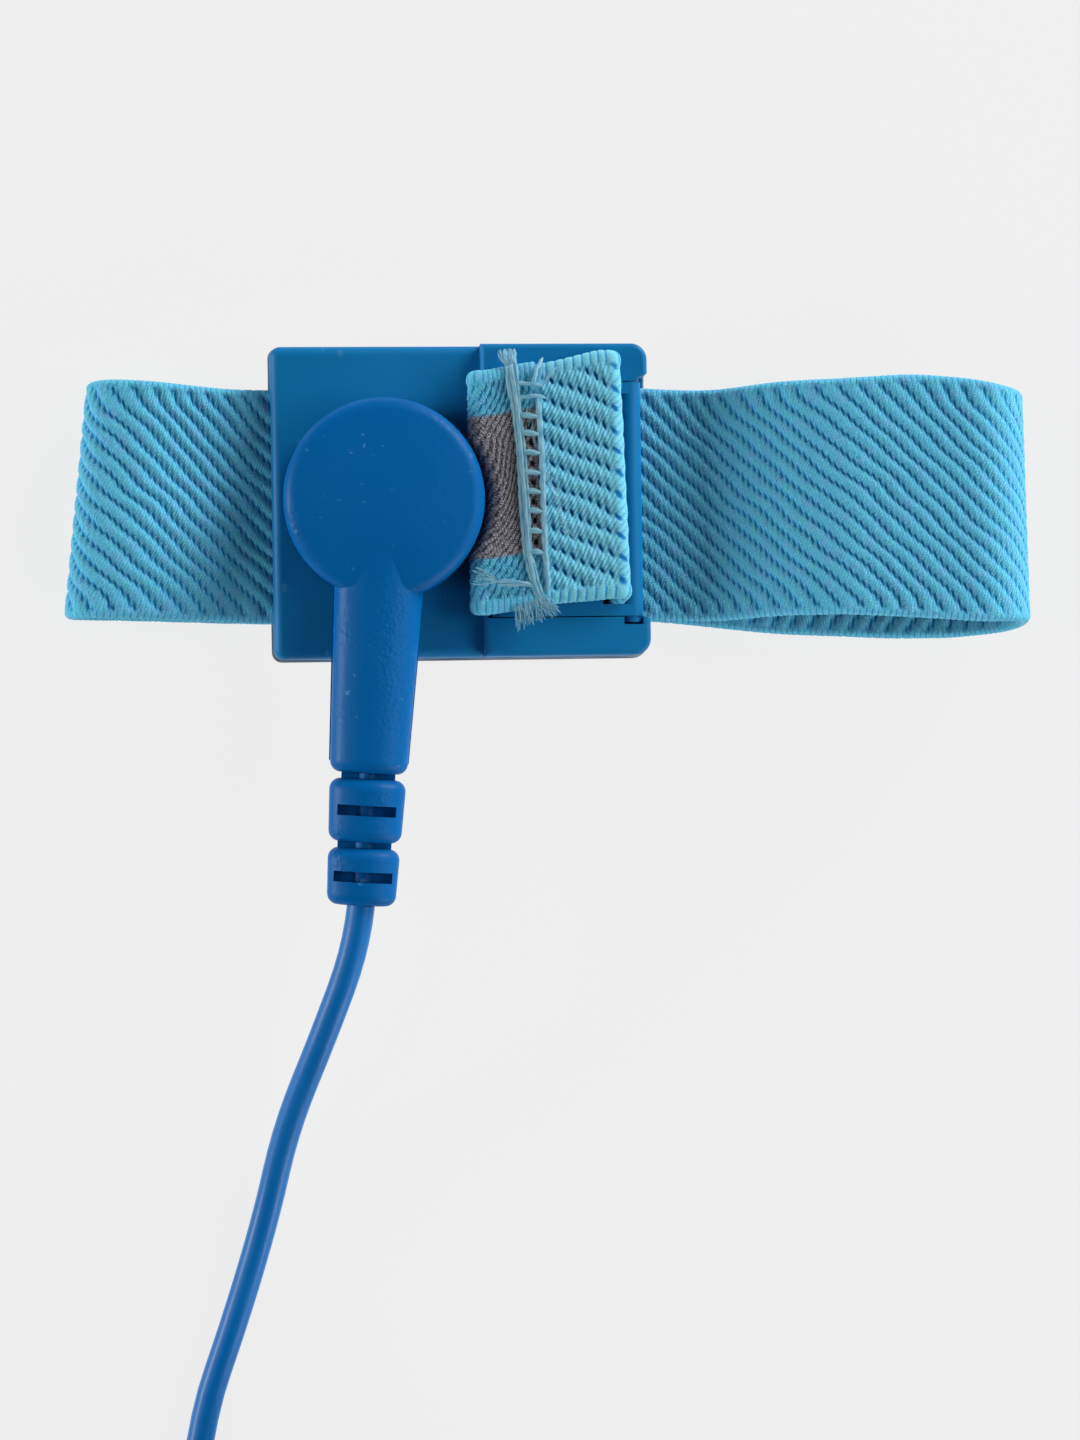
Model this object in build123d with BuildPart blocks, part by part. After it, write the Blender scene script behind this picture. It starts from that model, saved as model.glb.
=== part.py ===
from build123d import *
import math
import os

# Anti-static wrist strap, lying flat with its snap stud up.
# Origin: on the surface it lies on, under the axis of the snap stud. +X runs along the band
# towards the clasp, +Z is up, and the lead leaves towards -Y. All lengths are millimetres.

# --- Driving dimensions -------------------------------------------------------------------

# elastic band
band_width = 20.0
band_thick = 1.3
loop_left = 26.6  # snap axis to the outside of the left fold
loop_right = 55.8  # snap axis to the outside of the right fold
loop_rise = 11.7  # height of the open right end of the loop
fold_rise = 4.8  # height of the flattened left fold
rest_gap = 1.1  # from the band's underside layer up to the skin plate
band_grip = 4.0  # length of band held between plate and housing
seat_clear = 0.05  # between a soft piece and what it lies on

# skin plate and housing
plate_thick = 0.5
plate_lip = 0.2  # plate beyond the housing, all round
case_left = 9.6  # snap axis to the left edge
case_right = 23.1
case_width = 27.1
case_corner = 0.9
nose_corner = 1.4  # the housing's corners at the clasp end
deck_thick = 3.0
deck_round = 0.8
cheek_start = 8.6
cheek_rise = 1.3
cheek_round = 0.45
channel_start = 8.9
channel_width = 20.5
channel_floor = 0.7
nose_chamfer = 0.7  # lead-in on the inner corner of one cheek
nose_length = 1.4
nose_round = 0.5
stake_radius = 0.8
stake_inset_x = 2.2
stake_inset_y = 1.6

# clasp lever
bar_radius = 0.95
bar_inset = 1.5  # housing's right edge to the lever's axis
bar_clear = 0.3  # between the bar and the band under it
trunnion_radius = 0.8
trunnion_length = 0.55
running_gap = 0.05  # radial play of a turning pin
side_gap = 0.2
lever_gap = 0.1  # between the lever's ends and the cheeks
lever_left = 9.2
lever_thick = 1.6
lever_arm = 1.0  # width of the arm at each end of the slot
slot_width = 1.75
slot_clear = 0.15
tooth_count = 3
tooth_pitch = 0.75
tooth_depth = 0.4

# band tail on the lever
hem_left = 8.9
hem_right = 13.6
hem_slit = 0.1
bend_radius = 0.35  # inside of the turn over the slot's edge
tail_shift = 1.2  # tail sits off centre, over one cheek
stitch_count = 8
stitch_pitch = 1.75
stitch_radius = 0.14
stitch_inset = 1.1

# snap stud and post
post_radius = 1.4
post_bore = 1.0
post_head_radius = 2.8
post_head_thick = 0.3
post_flare_radius = 2.2
stud_sheet = 0.4
stud_flange_radius = 5.6
stud_neck_radius = 4.15
stud_head_radius = 4.55
stud_height = 3.2

# snap socket
spring_wire = 0.6
spring_play = 0.07
spring_split = 30.0  # degrees left open in the ring
socket_radius = 6.2
socket_mouth = 4.8
socket_lip = 0.4
socket_cavity = 5.5
socket_height = 3.55
socket_sheet = 0.35
rivet_radius = 0.75
rivet_head = 1.2
rivet_head_thick = 0.2
tag_thick = 0.2
tag_width = 2.0
tag_reach = 9.6

# moulded snap head
head_radius = 8.6
head_gap = 0.4  # head's underside above the deck
head_edge_height = 4.6
head_dome = 0.55
head_round = 1.1
head_lean = 4.1  # degrees the neck points away from -Y, towards -X
neck_start = 4.6
neck_end = 23.5
neck_half_width = 3.9
neck_half_height = 2.45
neck_end_half_width = 3.3
neck_end_half_height = 2.2
parting_height = 1.7  # step where the two halves of the mould met, above the head's underside
parting_lip = 0.12
parting_thick = 0.25
relief_end = 34.8
relief_notch = 0.5
relief_segment = 5.4
relief_core = 0.85  # radius of the round core between the segments
relief_web = 0.7  # thickness of the web on both sides of the core
relief_web_width = 4.6
relief_round = 0.95
relief_taper = 0.94
window_length = 0.9
window_width = 5.0

# resistor and its joints inside the neck
resistor_start = 12.8
resistor_length = 6.3
resistor_radius = 1.15
resistor_waist = 0.95
lead_radius = 0.3
lead_length = 2.6
ferrule_length = 3.0
ferrule_radius = 0.8
ferrule_bore = 0.45
core_radius = 0.42

# cord
cord_diameter = 2.4
cord_floor_gap = 0.05
coil_layers = 4
coil_quarters = 19  # quarter turns in one layer
coil_pitch = 2.86
coil_mean_radius = 14.07
coil_center = (2.3, -111.0)
tie_thick = 0.35
tie_width = 3.5
tie_clear = 0.15
tie_tail = 7.0
tie_tail_radius = 0.6

# plug
plug_start = (-1.4, -142.5)
plug_length = 24.0
plug_radius = 3.9
plug_neck_radius = 2.1
plug_nose_radius = 3.3
plug_axis_height = 3.95
groove_count = 4
groove_pitch = 1.8
groove_side = 0.75
groove_lift = 0.15  # groove's middle outside the plug's widest radius
pin_radius = 1.1
pin_reach = 15.0
pin_root = 6.0
pin_collar_radius = 1.9
pin_collar_length = 1.5
leaf_bulge = 1.95
leaf_thick = 0.2
leaf_slots = 4
leaf_slot_width = 0.7
leaf_slot_end = 1.2  # sleeve left whole beyond each end of a slot
leaf_cuff = 1.0
leaf_crest = 4.0

# crocodile clip
clip_gap = 0.3  # plug's face to the clip
clip_length = 42.0
clip_barrel_radius = 2.6
clip_barrel_bore = 2.05
clip_barrel_length = 13.0
clip_pivot_at = 20.0
clip_sheet = 0.5
clip_half_height = 3.0  # inner jaw, half its overall height
clip_nest_gap = 0.08
clip_belly = 4.3  # pivot to the outside of a jaw's back
clip_handle_rise = 9.4
clip_handle_start = 3.5
clip_handle_depth = 1.6
clip_ear_radius = 2.4
clip_tooth_start = 27.0
clip_tooth_pitch = 1.7
clip_tooth_depth = 0.7
clip_tooth_gap = 0.12
clip_pin_radius = 0.9
clip_pin_head = 1.5
clip_pin_head_thick = 0.2
clip_spring_radius = 1.5
clip_spring_wire = 0.55
clip_spring_half_turns = 7
clip_spring_pitch = 1.0
clip_spring_leg = 2.6

# --- Derived levels and places ------------------------------------------------------------

plate_bottom = band_thick + rest_gap
case_bottom = plate_bottom + plate_thick
deck_top = case_bottom + deck_thick
cheek_top = deck_top + cheek_rise
floor_top = case_bottom + channel_floor
case_length = case_left + case_right
case_middle = (case_right - case_left) / 2
channel_band_low = floor_top + seat_clear
channel_band_top = channel_band_low + band_thick
bar_x = case_right - bar_inset
bar_z = channel_band_top + bar_clear + bar_radius
lever_half = channel_width / 2 - lever_gap
slot_right = bar_x - bar_radius
slot_left = slot_right - slot_width
riser_right = slot_right - slot_clear
riser_left = riser_right - band_thick
tail_low = cheek_top + seat_clear
tail_top = tail_low + band_thick
hem_top = tail_top + hem_slit + band_thick
stud_top = deck_top + stud_height
head_bottom = deck_top + head_gap
neck_z = head_bottom + neck_half_height + 0.05
spring_center_radius = stud_head_radius + spring_play + spring_wire / 2
spring_z = head_bottom + seat_clear + socket_lip + seat_clear + spring_wire / 2
socket_bottom = head_bottom + seat_clear
socket_top = socket_bottom + socket_height
cord_radius = cord_diameter / 2
head_plane = Plane.XY.rotated((0, 0, -head_lean))
neck_direction = -head_plane.y_dir

os.makedirs("parts", exist_ok=True)


def neck_plane(reach):
    """Plane across the neck at a distance from the snap axis, facing away from the snap."""
    origin = neck_direction * reach + Vector(0, 0, neck_z)
    return Plane(origin=origin, x_dir=head_plane.x_dir, z_dir=neck_direction)


def biarc(start, start_tangent, end, end_tangent):
    """Two arcs that leave start and reach end along the given unit tangents."""
    chord = end - start
    total = start_tangent + end_tangent
    spread = 2 * (1 - start_tangent.dot(end_tangent))
    along = chord.dot(total)
    reach = (math.sqrt(along * along + spread * chord.dot(chord)) - along) / spread
    first = start + start_tangent * reach
    second = end - end_tangent * reach
    middle = (first + second) * 0.5
    TangentArc(start, middle, tangent=start_tangent)
    TangentArc(middle, end, tangent=second - first)


def finish(builder, name):
    """Label a finished piece and write it."""
    builder.part.label = name
    export_step(builder.part, f"parts/{name}.step")


# --- Skin plate ---------------------------------------------------------------------------

stake_points = [
    (x, y)
    for x in (-case_left + stake_inset_x, case_right - stake_inset_x)
    for y in (-case_width / 2 + stake_inset_y, case_width / 2 - stake_inset_y)
]

with BuildPart() as back_plate:
    with BuildSketch(Plane.XY.offset(plate_bottom)) as plate_outline:
        with Locations((case_middle, 0)):
            Rectangle(case_length + 2 * plate_lip, case_width + 2 * plate_lip)
        fillet(plate_outline.vertices().group_by(Axis.X)[0], case_corner)
        fillet(plate_outline.vertices().group_by(Axis.X)[-1], nose_corner)
        Circle(post_radius, mode=Mode.SUBTRACT)
        with Locations(*stake_points):
            Circle(stake_radius, mode=Mode.SUBTRACT)
    extrude(amount=plate_thick)
    skin_face = back_plate.faces().sort_by(Axis.Z)[0]
    fillet(skin_face.outer_wire().edges(), plate_thick * 0.6)
finish(back_plate, "back_plate")

# --- Housing cover ------------------------------------------------------------------------

with BuildPart() as housing_cover:
    with BuildSketch(Plane.XY.offset(case_bottom)) as deck_outline:
        with Locations((case_middle, 0)):
            Rectangle(case_length, case_width)
        fillet(deck_outline.vertices().group_by(Axis.X)[0], case_corner)
        fillet(deck_outline.vertices().group_by(Axis.X)[-1], nose_corner)
    extrude(amount=deck_thick)
    fillet(housing_cover.faces().sort_by(Axis.Z)[-1].edges(), deck_round)

    # raised cheeks, with their outer corners rounded like the housing's
    with BuildSketch(Plane.XY.offset(case_bottom)) as cheek_outline:
        with Locations((cheek_start, 0)):
            Rectangle(case_right - cheek_start, case_width, align=(Align.MIN, Align.CENTER))
        fillet(cheek_outline.vertices().group_by(Axis.X)[-1], nose_corner)
    extrude(amount=deck_thick + cheek_rise)
    fillet(housing_cover.faces().sort_by(Axis.Z)[-1].edges(), cheek_round)

    # channel for band and lever, open at the right, where one cheek's nose is chamfered
    # and the other's is rounded
    half_channel = channel_width / 2
    with BuildSketch(Plane.XY.offset(floor_top)):
        with BuildLine():
            rounded = RadiusArc(
                (case_right - nose_round, -half_channel),
                (case_right, -half_channel - nose_round),
                nose_round,
            )
            Polyline(
                rounded @ 1,
                (case_right + nose_length, -half_channel - nose_round),
                (case_right + nose_length, half_channel + nose_chamfer),
                (case_right, half_channel + nose_chamfer),
                (case_right - nose_length, half_channel),
                (channel_start, half_channel),
                (channel_start, -half_channel),
                rounded @ 0,
            )
        make_face()
    extrude(amount=deck_thick + cheek_rise, mode=Mode.SUBTRACT)

    # bearings of the lever's trunnions: a blind hole in one cheek, and in the other, nearer
    # the lead, a notch open at the top, into which the lever is tilted
    bearing_radius = trunnion_radius + running_gap
    bearing_reach = lever_half + trunnion_length + side_gap
    with BuildSketch(Plane.XZ):
        with Locations((bar_x, bar_z)):
            Circle(bearing_radius)
    extrude(amount=bearing_reach, both=True, mode=Mode.SUBTRACT)
    with BuildSketch(Plane.XZ):
        with Locations((bar_x, bar_z)):
            Rectangle(2 * bearing_radius, cheek_rise + deck_thick, align=(Align.CENTER, Align.MIN))
    extrude(amount=bearing_reach, mode=Mode.SUBTRACT)

    # pocket under the deck for the fixed end of the band
    with BuildSketch(Plane.XY.offset(case_bottom)):
        with Locations((-case_left, 0)):
            Rectangle(2 * band_grip, band_width + 2 * side_gap)
    extrude(amount=band_thick + 2 * seat_clear, mode=Mode.SUBTRACT)

    # heat stakes through the plate, and the bore of the post
    with BuildSketch(Plane.XY.offset(plate_bottom)):
        with Locations(*stake_points):
            Circle(stake_radius)
    extrude(amount=plate_thick)
    with BuildSketch(Plane.XY.offset(case_bottom)):
        Circle(post_radius)
    extrude(amount=deck_thick, mode=Mode.SUBTRACT)
finish(housing_cover, "housing_cover")

# --- Snap stud and the hollow post that rivets it down ------------------------------------

with BuildPart() as snap_stud:
    with BuildSketch(Plane.XZ):
        with BuildLine():
            outer = Polyline(
                (post_radius, deck_top),
                (stud_flange_radius, deck_top),
                (stud_flange_radius, deck_top + stud_sheet),
                (stud_neck_radius, deck_top + stud_sheet),
                (stud_neck_radius, deck_top + stud_height * 0.45),
            )
            bulge = ThreePointArc(
                outer @ 1,
                (stud_head_radius, deck_top + stud_height * 0.68),
                (stud_neck_radius, deck_top + stud_height * 0.88),
            )
            crown = Line(bulge @ 1, (stud_neck_radius - 0.7, stud_top))
            Polyline(
                crown @ 1,
                (0, stud_top),
                (0, stud_top - stud_sheet),
                (stud_neck_radius - 2 * stud_sheet, stud_top - stud_sheet),
                (stud_neck_radius - stud_sheet, stud_top - 2 * stud_sheet),
                (stud_neck_radius - stud_sheet, deck_top + stud_sheet),
                (post_radius, deck_top + stud_sheet),
                (post_radius, deck_top),
            )
        make_face()
    revolve(axis=Axis.Z)
finish(snap_stud, "snap_stud")

with BuildPart() as stud_post:
    with BuildSketch(Plane.XZ):
        with BuildLine():
            flare_low = deck_top + stud_sheet
            Polyline(
                (post_bore, plate_bottom - post_head_thick),
                (post_head_radius, plate_bottom - post_head_thick),
                (post_head_radius, plate_bottom),
                (post_radius, plate_bottom),
                (post_radius, flare_low),
                (post_flare_radius, flare_low),
                (post_flare_radius, flare_low + post_head_thick),
                (post_bore, flare_low + post_head_thick),
                close=True,
            )
        make_face()
    revolve(axis=Axis.Z)
finish(stud_post, "stud_post")

# --- Clasp lever: slotted plate, toothed underneath, turning on the bar at its right end ---

lever_low = cheek_top - lever_thick
with BuildPart() as clasp_lever:
    with BuildSketch(Plane.XZ):
        with BuildLine():
            Polyline(
                (lever_left, lever_low + lever_thick * 0.4),
                (lever_left + lever_thick, lever_low),
                (slot_left, lever_low),
                (bar_x, lever_low),
                (bar_x, cheek_top - trunnion_radius * 0.06),
                (slot_left, cheek_top),
                (lever_left + lever_thick * 0.5, cheek_top),
                (lever_left, cheek_top - lever_thick * 0.3),
                close=True,
            )
        make_face()
        with Locations((bar_x, bar_z)):
            Circle(bar_radius)
    extrude(amount=lever_half, both=True)

    # slot for the band, which leaves the round bar free on its right
    with BuildSketch(Plane.XZ):
        with Locations((slot_left, bar_z)):
            Rectangle(bar_x - slot_left, 4 * bar_radius, align=(Align.MIN, Align.CENTER))
        with Locations((bar_x, bar_z)):
            Circle(bar_radius, mode=Mode.SUBTRACT)
    extrude(amount=lever_half - lever_arm, both=True, mode=Mode.SUBTRACT)

    # teeth that bite the band in the channel
    with BuildSketch(Plane.XZ):
        for index in range(tooth_count):
            tooth_x = slot_left - index * tooth_pitch
            with BuildLine():
                Polyline(
                    (tooth_x, lever_low + tooth_depth),
                    (tooth_x, lever_low - tooth_depth),
                    (tooth_x - tooth_pitch, lever_low),
                    (tooth_x - tooth_pitch, lever_low + tooth_depth),
                    close=True,
                )
            make_face()
    extrude(amount=lever_half - lever_arm, both=True)

    # trunnions in the cheeks' notches
    with BuildSketch(Plane.XZ):
        with Locations((bar_x, bar_z)):
            Circle(trunnion_radius)
    extrude(amount=lever_half + trunnion_length, both=True)
finish(clasp_lever, "clasp_lever")

# --- Elastic band: one strip from the grip under the deck, round the loop, to the clasp -----

grip_z = case_bottom + seat_clear + band_thick / 2
fold_z = fold_rise - band_thick / 2
base_z = band_thick / 2
crest_z = loop_rise - band_thick / 2
channel_z = channel_band_low + band_thick / 2
left_x = -loop_left + band_thick / 2
right_x = loop_right - band_thick / 2
fold_radius = (fold_z - base_z) / 2 - 0.01
loop_radius = (crest_z - base_z) / 2 - 0.01

with BuildPart() as band_loop:
    with BuildLine(Plane.XZ) as band_path:
        FilletPolyline(
            (-case_left + band_grip - side_gap, grip_z),
            (-case_left - 4.0, grip_z),
            (-case_left - 9.0, fold_z),
            (left_x, fold_z),
            (left_x, base_z),
            (right_x, base_z),
            (right_x, crest_z),
            (case_right + 14.9, crest_z),
            (case_right + 4.4, channel_z),
            (slot_left, channel_z),
            radius=[8, 8, fold_radius, fold_radius, loop_radius, loop_radius, 12, 12],
        )
    with BuildSketch(Plane(origin=band_path.line @ 0, x_dir=(0, 1, 0), z_dir=(-1, 0, 0))):
        Rectangle(band_width, band_thick)
    sweep()
finish(band_loop, "band_loop")

# --- Band tail: up through the slot, over the lever, ending in a sewn hem -------------------

with BuildPart() as band_tail:
    turn_z = tail_low - bend_radius
    turn_x = riser_left - bend_radius
    fold_outer = (hem_top - tail_low) / 2
    fold_x = hem_left + fold_outer
    with BuildSketch(Plane.XZ.offset(-tail_shift)):
        with BuildLine():
            inner = Line((riser_left, channel_band_top + seat_clear), (riser_left, turn_z))
            under = RadiusArc(inner @ 1, (turn_x, tail_low), -bend_radius)
            lower = Line(under @ 1, (fold_x, tail_low))
            hem_fold = ThreePointArc(lower @ 1, (hem_left, tail_low + fold_outer), (fold_x, hem_top))
            slit = Polyline(
                hem_fold @ 1,
                (hem_right, hem_top),
                (hem_right, tail_top + hem_slit),
                (fold_x, tail_top + hem_slit),
                (fold_x, tail_top),
                (turn_x, tail_top),
            )
            over = RadiusArc(slit @ 1, (riser_right, turn_z), bend_radius + band_thick)
            Polyline(over @ 1, (riser_right, channel_band_top + seat_clear), inner @ 0)
        make_face()
    extrude(amount=band_width / 2, both=True)

    # inside the slot the band is gathered between the lever's arms
    with BuildSketch(Plane.XY.offset(tail_low)):
        with Locations((riser_left, 0)):
            Rectangle(2 * band_thick + 2 * bend_radius, 2 * band_width, align=(Align.CENTER, Align.CENTER))
            Rectangle(
                4 * band_thick,
                2 * (lever_half - lever_arm - slot_clear),
                mode=Mode.SUBTRACT,
            )
    extrude(amount=-2 * lever_thick, mode=Mode.SUBTRACT)
finish(band_tail, "band_tail")

# --- Hem thread: a row of short stitches through both layers, showing on top ----------------

with BuildPart() as hem_thread:
    stitch_x = hem_right - stitch_inset
    with BuildSketch(Plane.XY.offset(hem_top + seat_clear)):
        with Locations((stitch_x, tail_shift)):
            with GridLocations(0, stitch_pitch, 1, stitch_count):
                SlotOverall(stitch_pitch * 0.7, 2 * stitch_radius, rotation=90)
    extrude(amount=2 * stitch_radius)
finish(hem_thread, "hem_thread")

# --- Snap socket, its ring spring, rivet and terminal tag -----------------------------------

with BuildPart() as snap_socket:
    lip_top = socket_bottom + socket_lip
    with BuildSketch(Plane.XZ):
        with BuildLine():
            Polyline(
                (socket_mouth, socket_bottom),
                (socket_radius, socket_bottom),
                (socket_radius, socket_top - socket_sheet),
                (socket_radius - socket_sheet, socket_top),
                (rivet_radius, socket_top),
                (rivet_radius, socket_top - socket_sheet),
                (socket_cavity, socket_top - socket_sheet),
                (socket_cavity, lip_top),
                (socket_mouth, lip_top),
                close=True,
            )
        make_face()
    revolve(axis=Axis.Z)
finish(snap_socket, "snap_socket")

with BuildPart() as socket_spring:
    with BuildSketch(Plane.XZ):
        with Locations((spring_center_radius, spring_z)):
            Circle(spring_wire / 2)
    revolve(axis=Axis.Z, revolution_arc=360 - spring_split)
finish(socket_spring, "socket_spring")

tag_z = socket_top + tag_thick / 2
with BuildPart() as socket_rivet:
    with BuildSketch(Plane.XZ):
        with BuildLine():
            Polyline(
                (0, socket_top - socket_sheet - rivet_head_thick),
                (rivet_head, socket_top - socket_sheet - rivet_head_thick),
                (rivet_head, socket_top - socket_sheet),
                (rivet_radius, socket_top - socket_sheet),
                (rivet_radius, socket_top + tag_thick),
                (rivet_head, socket_top + tag_thick),
                (rivet_head, socket_top + tag_thick + rivet_head_thick),
                (0, socket_top + tag_thick + rivet_head_thick),
                close=True,
            )
        make_face()
    revolve(axis=Axis.Z)
finish(socket_rivet, "socket_rivet")

neck_side = Plane(origin=(0, 0, 0), x_dir=neck_direction, z_dir=-head_plane.x_dir)
with BuildPart() as terminal_tag:
    with BuildSketch(Plane(origin=(0, 0, socket_top), x_dir=head_plane.x_dir)):
        Circle(tag_width)
        Circle(rivet_radius, mode=Mode.SUBTRACT)
    extrude(amount=tag_thick)
    # its tongue runs out over the socket and steps down to the neck's axis
    with BuildLine(neck_side) as tongue:
        FilletPolyline(
            (rivet_head + 2 * tag_thick, tag_z),
            (socket_radius + tag_width / 2, tag_z),
            (tag_reach - tag_width / 2, neck_z),
            (tag_reach, neck_z),
            radius=2 * tag_thick,
        )
    with BuildSketch(Plane(origin=tongue.line @ 0, x_dir=head_plane.x_dir, z_dir=neck_direction)):
        Rectangle(tag_width, tag_thick)
    sweep()
finish(terminal_tag, "terminal_tag")

# --- Resistor, leads, ferrules and stripped core along the neck ------------------------------

with BuildPart() as resistor_body:
    with BuildSketch(neck_side):
        with BuildLine():
            half = resistor_length / 2
            middle = resistor_start + half
            ends = Polyline(
                (middle + half * 0.5, neck_z + resistor_waist),
                (middle + half * 0.65, neck_z + resistor_radius),
                (middle + half, neck_z + resistor_radius),
                (middle + half, neck_z),
                (middle - half, neck_z),
                (middle - half, neck_z + resistor_radius),
                (middle - half * 0.65, neck_z + resistor_radius),
                (middle - half * 0.5, neck_z + resistor_waist),
                close=True,
            )
        make_face()
    revolve(axis=Axis(neck_plane(0).origin, neck_direction))
finish(resistor_body, "resistor_body")

resistor_end = resistor_start + resistor_length
with BuildPart() as resistor_leads:
    for reach in (resistor_start - lead_length, resistor_end):
        with BuildSketch(neck_plane(reach)):
            Circle(lead_radius)
        extrude(amount=lead_length)
finish(resistor_leads, "resistor_leads")

core_start = resistor_end + lead_length + lead_radius
ferrule_ends = (tag_reach, core_start - ferrule_length / 2)
with BuildPart() as crimp_ferrules:
    for reach in ferrule_ends:
        with BuildSketch(neck_plane(reach)):
            Circle(ferrule_radius)
            Circle(ferrule_bore, mode=Mode.SUBTRACT)
        extrude(amount=ferrule_length)
finish(crimp_ferrules, "crimp_ferrules")

with BuildPart() as cord_core:
    with BuildSketch(neck_plane(core_start)):
        Circle(core_radius)
    extrude(amount=relief_end - core_start)
finish(cord_core, "cord_core")

# --- Moulded snap head: domed disc, neck and alternately slotted strain relief ----------------

with BuildPart() as head_moulding:
    # disc
    edge_top = head_bottom + head_edge_height
    with BuildSketch(Plane.XZ):
        with BuildLine():
            shoulder = head_radius - head_round
            crown = ThreePointArc(
                (0, edge_top + head_dome),
                (shoulder / 2, edge_top + head_dome * 0.75),
                (shoulder, edge_top),
            )
            corner = TangentArc(crown @ 1, (head_radius, edge_top - head_round), tangent=crown % 1)
            parting_z = head_bottom + parting_height
            Polyline(
                corner @ 1,
                (head_radius, parting_z + parting_thick),
                (head_radius + parting_lip, parting_z + parting_thick),
                (head_radius + parting_lip, parting_z),
                (head_radius, parting_z),
                (head_radius, head_bottom),
                (0, head_bottom),
                crown @ 0,
            )
        make_face()
    revolve(axis=Axis.Z)

    # neck, its end rounded
    with BuildSketch(neck_plane(neck_start)):
        Ellipse(neck_half_width, neck_half_height)
    with BuildSketch(neck_plane(neck_end)):
        Ellipse(neck_end_half_width, neck_end_half_height)
    loft(ruled=True)
    neck_face = head_moulding.faces().filter_by(Plane(origin=(0, 0, 0), z_dir=neck_direction)).sort_by(Axis.Y)[0]
    fillet(neck_face.edges(), relief_round)

    # strain relief: two segments with rounded ends on a round core
    segment_starts = [neck_end + relief_notch]
    segment_starts.append(segment_starts[0] + relief_segment + relief_notch)
    for index, start in enumerate(segment_starts):
        length = min(relief_segment, relief_end - start)
        near = relief_taper**index
        far = near * relief_taper
        with BuildSketch(neck_plane(start)):
            Ellipse(neck_end_half_width * near, neck_end_half_height * near)
        with BuildSketch(neck_plane(start + length)):
            Ellipse(neck_end_half_width * far, neck_end_half_height * far)
        loft(ruled=True)
        segment_ends = head_moulding.faces(Select.LAST).filter_by(GeomType.PLANE)
        fillet(segment_ends.edges(), relief_round)
    with BuildSketch(neck_plane(neck_end - relief_round)):
        Circle(relief_core)
        Rectangle(relief_web_width, relief_web)
    extrude(amount=relief_end - neck_end)

    # slots across each segment from above and below, down to the core and its web
    for start in segment_starts:
        window_start = start + (min(relief_segment, relief_end - start) - window_length) / 2
        with BuildSketch(neck_plane(window_start)):
            Rectangle(window_width, 4 * neck_half_height)
            Circle(relief_core, mode=Mode.SUBTRACT)
            Rectangle(window_width, relief_web, mode=Mode.SUBTRACT)
        extrude(amount=window_length, mode=Mode.SUBTRACT)

    # parting line down both sides of the neck
    with BuildSketch(neck_plane(neck_start)):
        with Locations((0, parting_height - neck_half_height)):
            Rectangle(2 * (neck_half_width + parting_lip), parting_thick)
    with BuildSketch(neck_plane(neck_end - relief_round)):
        with Locations((0, parting_height - neck_half_height)):
            Rectangle(2 * (neck_end_half_width + parting_lip), parting_thick)
    loft(ruled=True)

    # cavity of the socket, and the moulded-in metal
    with BuildSketch(Plane.XY.offset(head_bottom)):
        Circle(socket_radius)
    extrude(amount=socket_top - head_bottom - socket_sheet, mode=Mode.SUBTRACT)
    for insert in (snap_socket, socket_rivet, terminal_tag, resistor_body, resistor_leads):
        add(insert.part, mode=Mode.SUBTRACT)
    for insert in (crimp_ferrules, cord_core):
        add(insert.part, mode=Mode.SUBTRACT)
finish(head_moulding, "head_moulding")

# --- Cord from the strain relief down to the surface -----------------------------------------

cord_floor = cord_radius + cord_floor_gap
coil_base = tie_thick + 2 * cord_floor_gap + cord_radius
coil_span = coil_quarters / 4 * coil_pitch
coil_outer = coil_mean_radius + coil_span / 2
coil_inner = coil_mean_radius - coil_span / 2
coil_top = coil_base + (coil_layers - 1) * coil_pitch
coil_edge_x = coil_center[0] - coil_outer


def cord_tube(points):
    """Round cord along straight runs joined by arcs as large as the runs allow."""
    route = [Vector(*point) for point in points]
    radii = []
    for before, corner, after in zip(route, route[1:], route[2:]):
        run_in = corner - before
        run_out = after - corner
        turn = math.radians(run_in.get_angle(run_out))
        radii.append(0.45 * min(run_in.length, run_out.length) / math.tan(turn / 2))
    with BuildPart() as tube:
        with BuildLine() as path:
            FilletPolyline(*route, radius=radii)
        with BuildSketch(Plane(origin=route[0], z_dir=route[1] - route[0])):
            Circle(cord_radius)
        sweep()
    length = sum(edge.length for edge in path.edges())
    print("arc radii", [round(radius, 1) for radius in radii])
    print("length", round(length, 1), "solid share", tube.part.volume / (length * math.pi * cord_radius**2))
    return tube


cord_start = neck_direction * relief_end + Vector(0, 0, neck_z)
cord_lead = cord_start + neck_direction * 6.5
run_points = [
    (cord_start.X, cord_start.Y, cord_start.Z),
    (cord_lead.X, cord_lead.Y, cord_lead.Z),
    (-5.8, -48.1, 6.8),
    (-8.6, -54.6, 3.2),
    (-10.6, -62.2, cord_floor),
    (-13.2, -71.0, cord_floor),
    (-16.6, -80.5, cord_floor),
    (coil_edge_x, -94.5, coil_base),
    (coil_edge_x, coil_center[1] + cord_diameter, coil_base),
]
cord_run = cord_tube(run_points)
finish(cord_run, "cord_run")

# --- Put-away cord: one unbroken winding of piled loops, spiralling in and out -----------------


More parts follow.
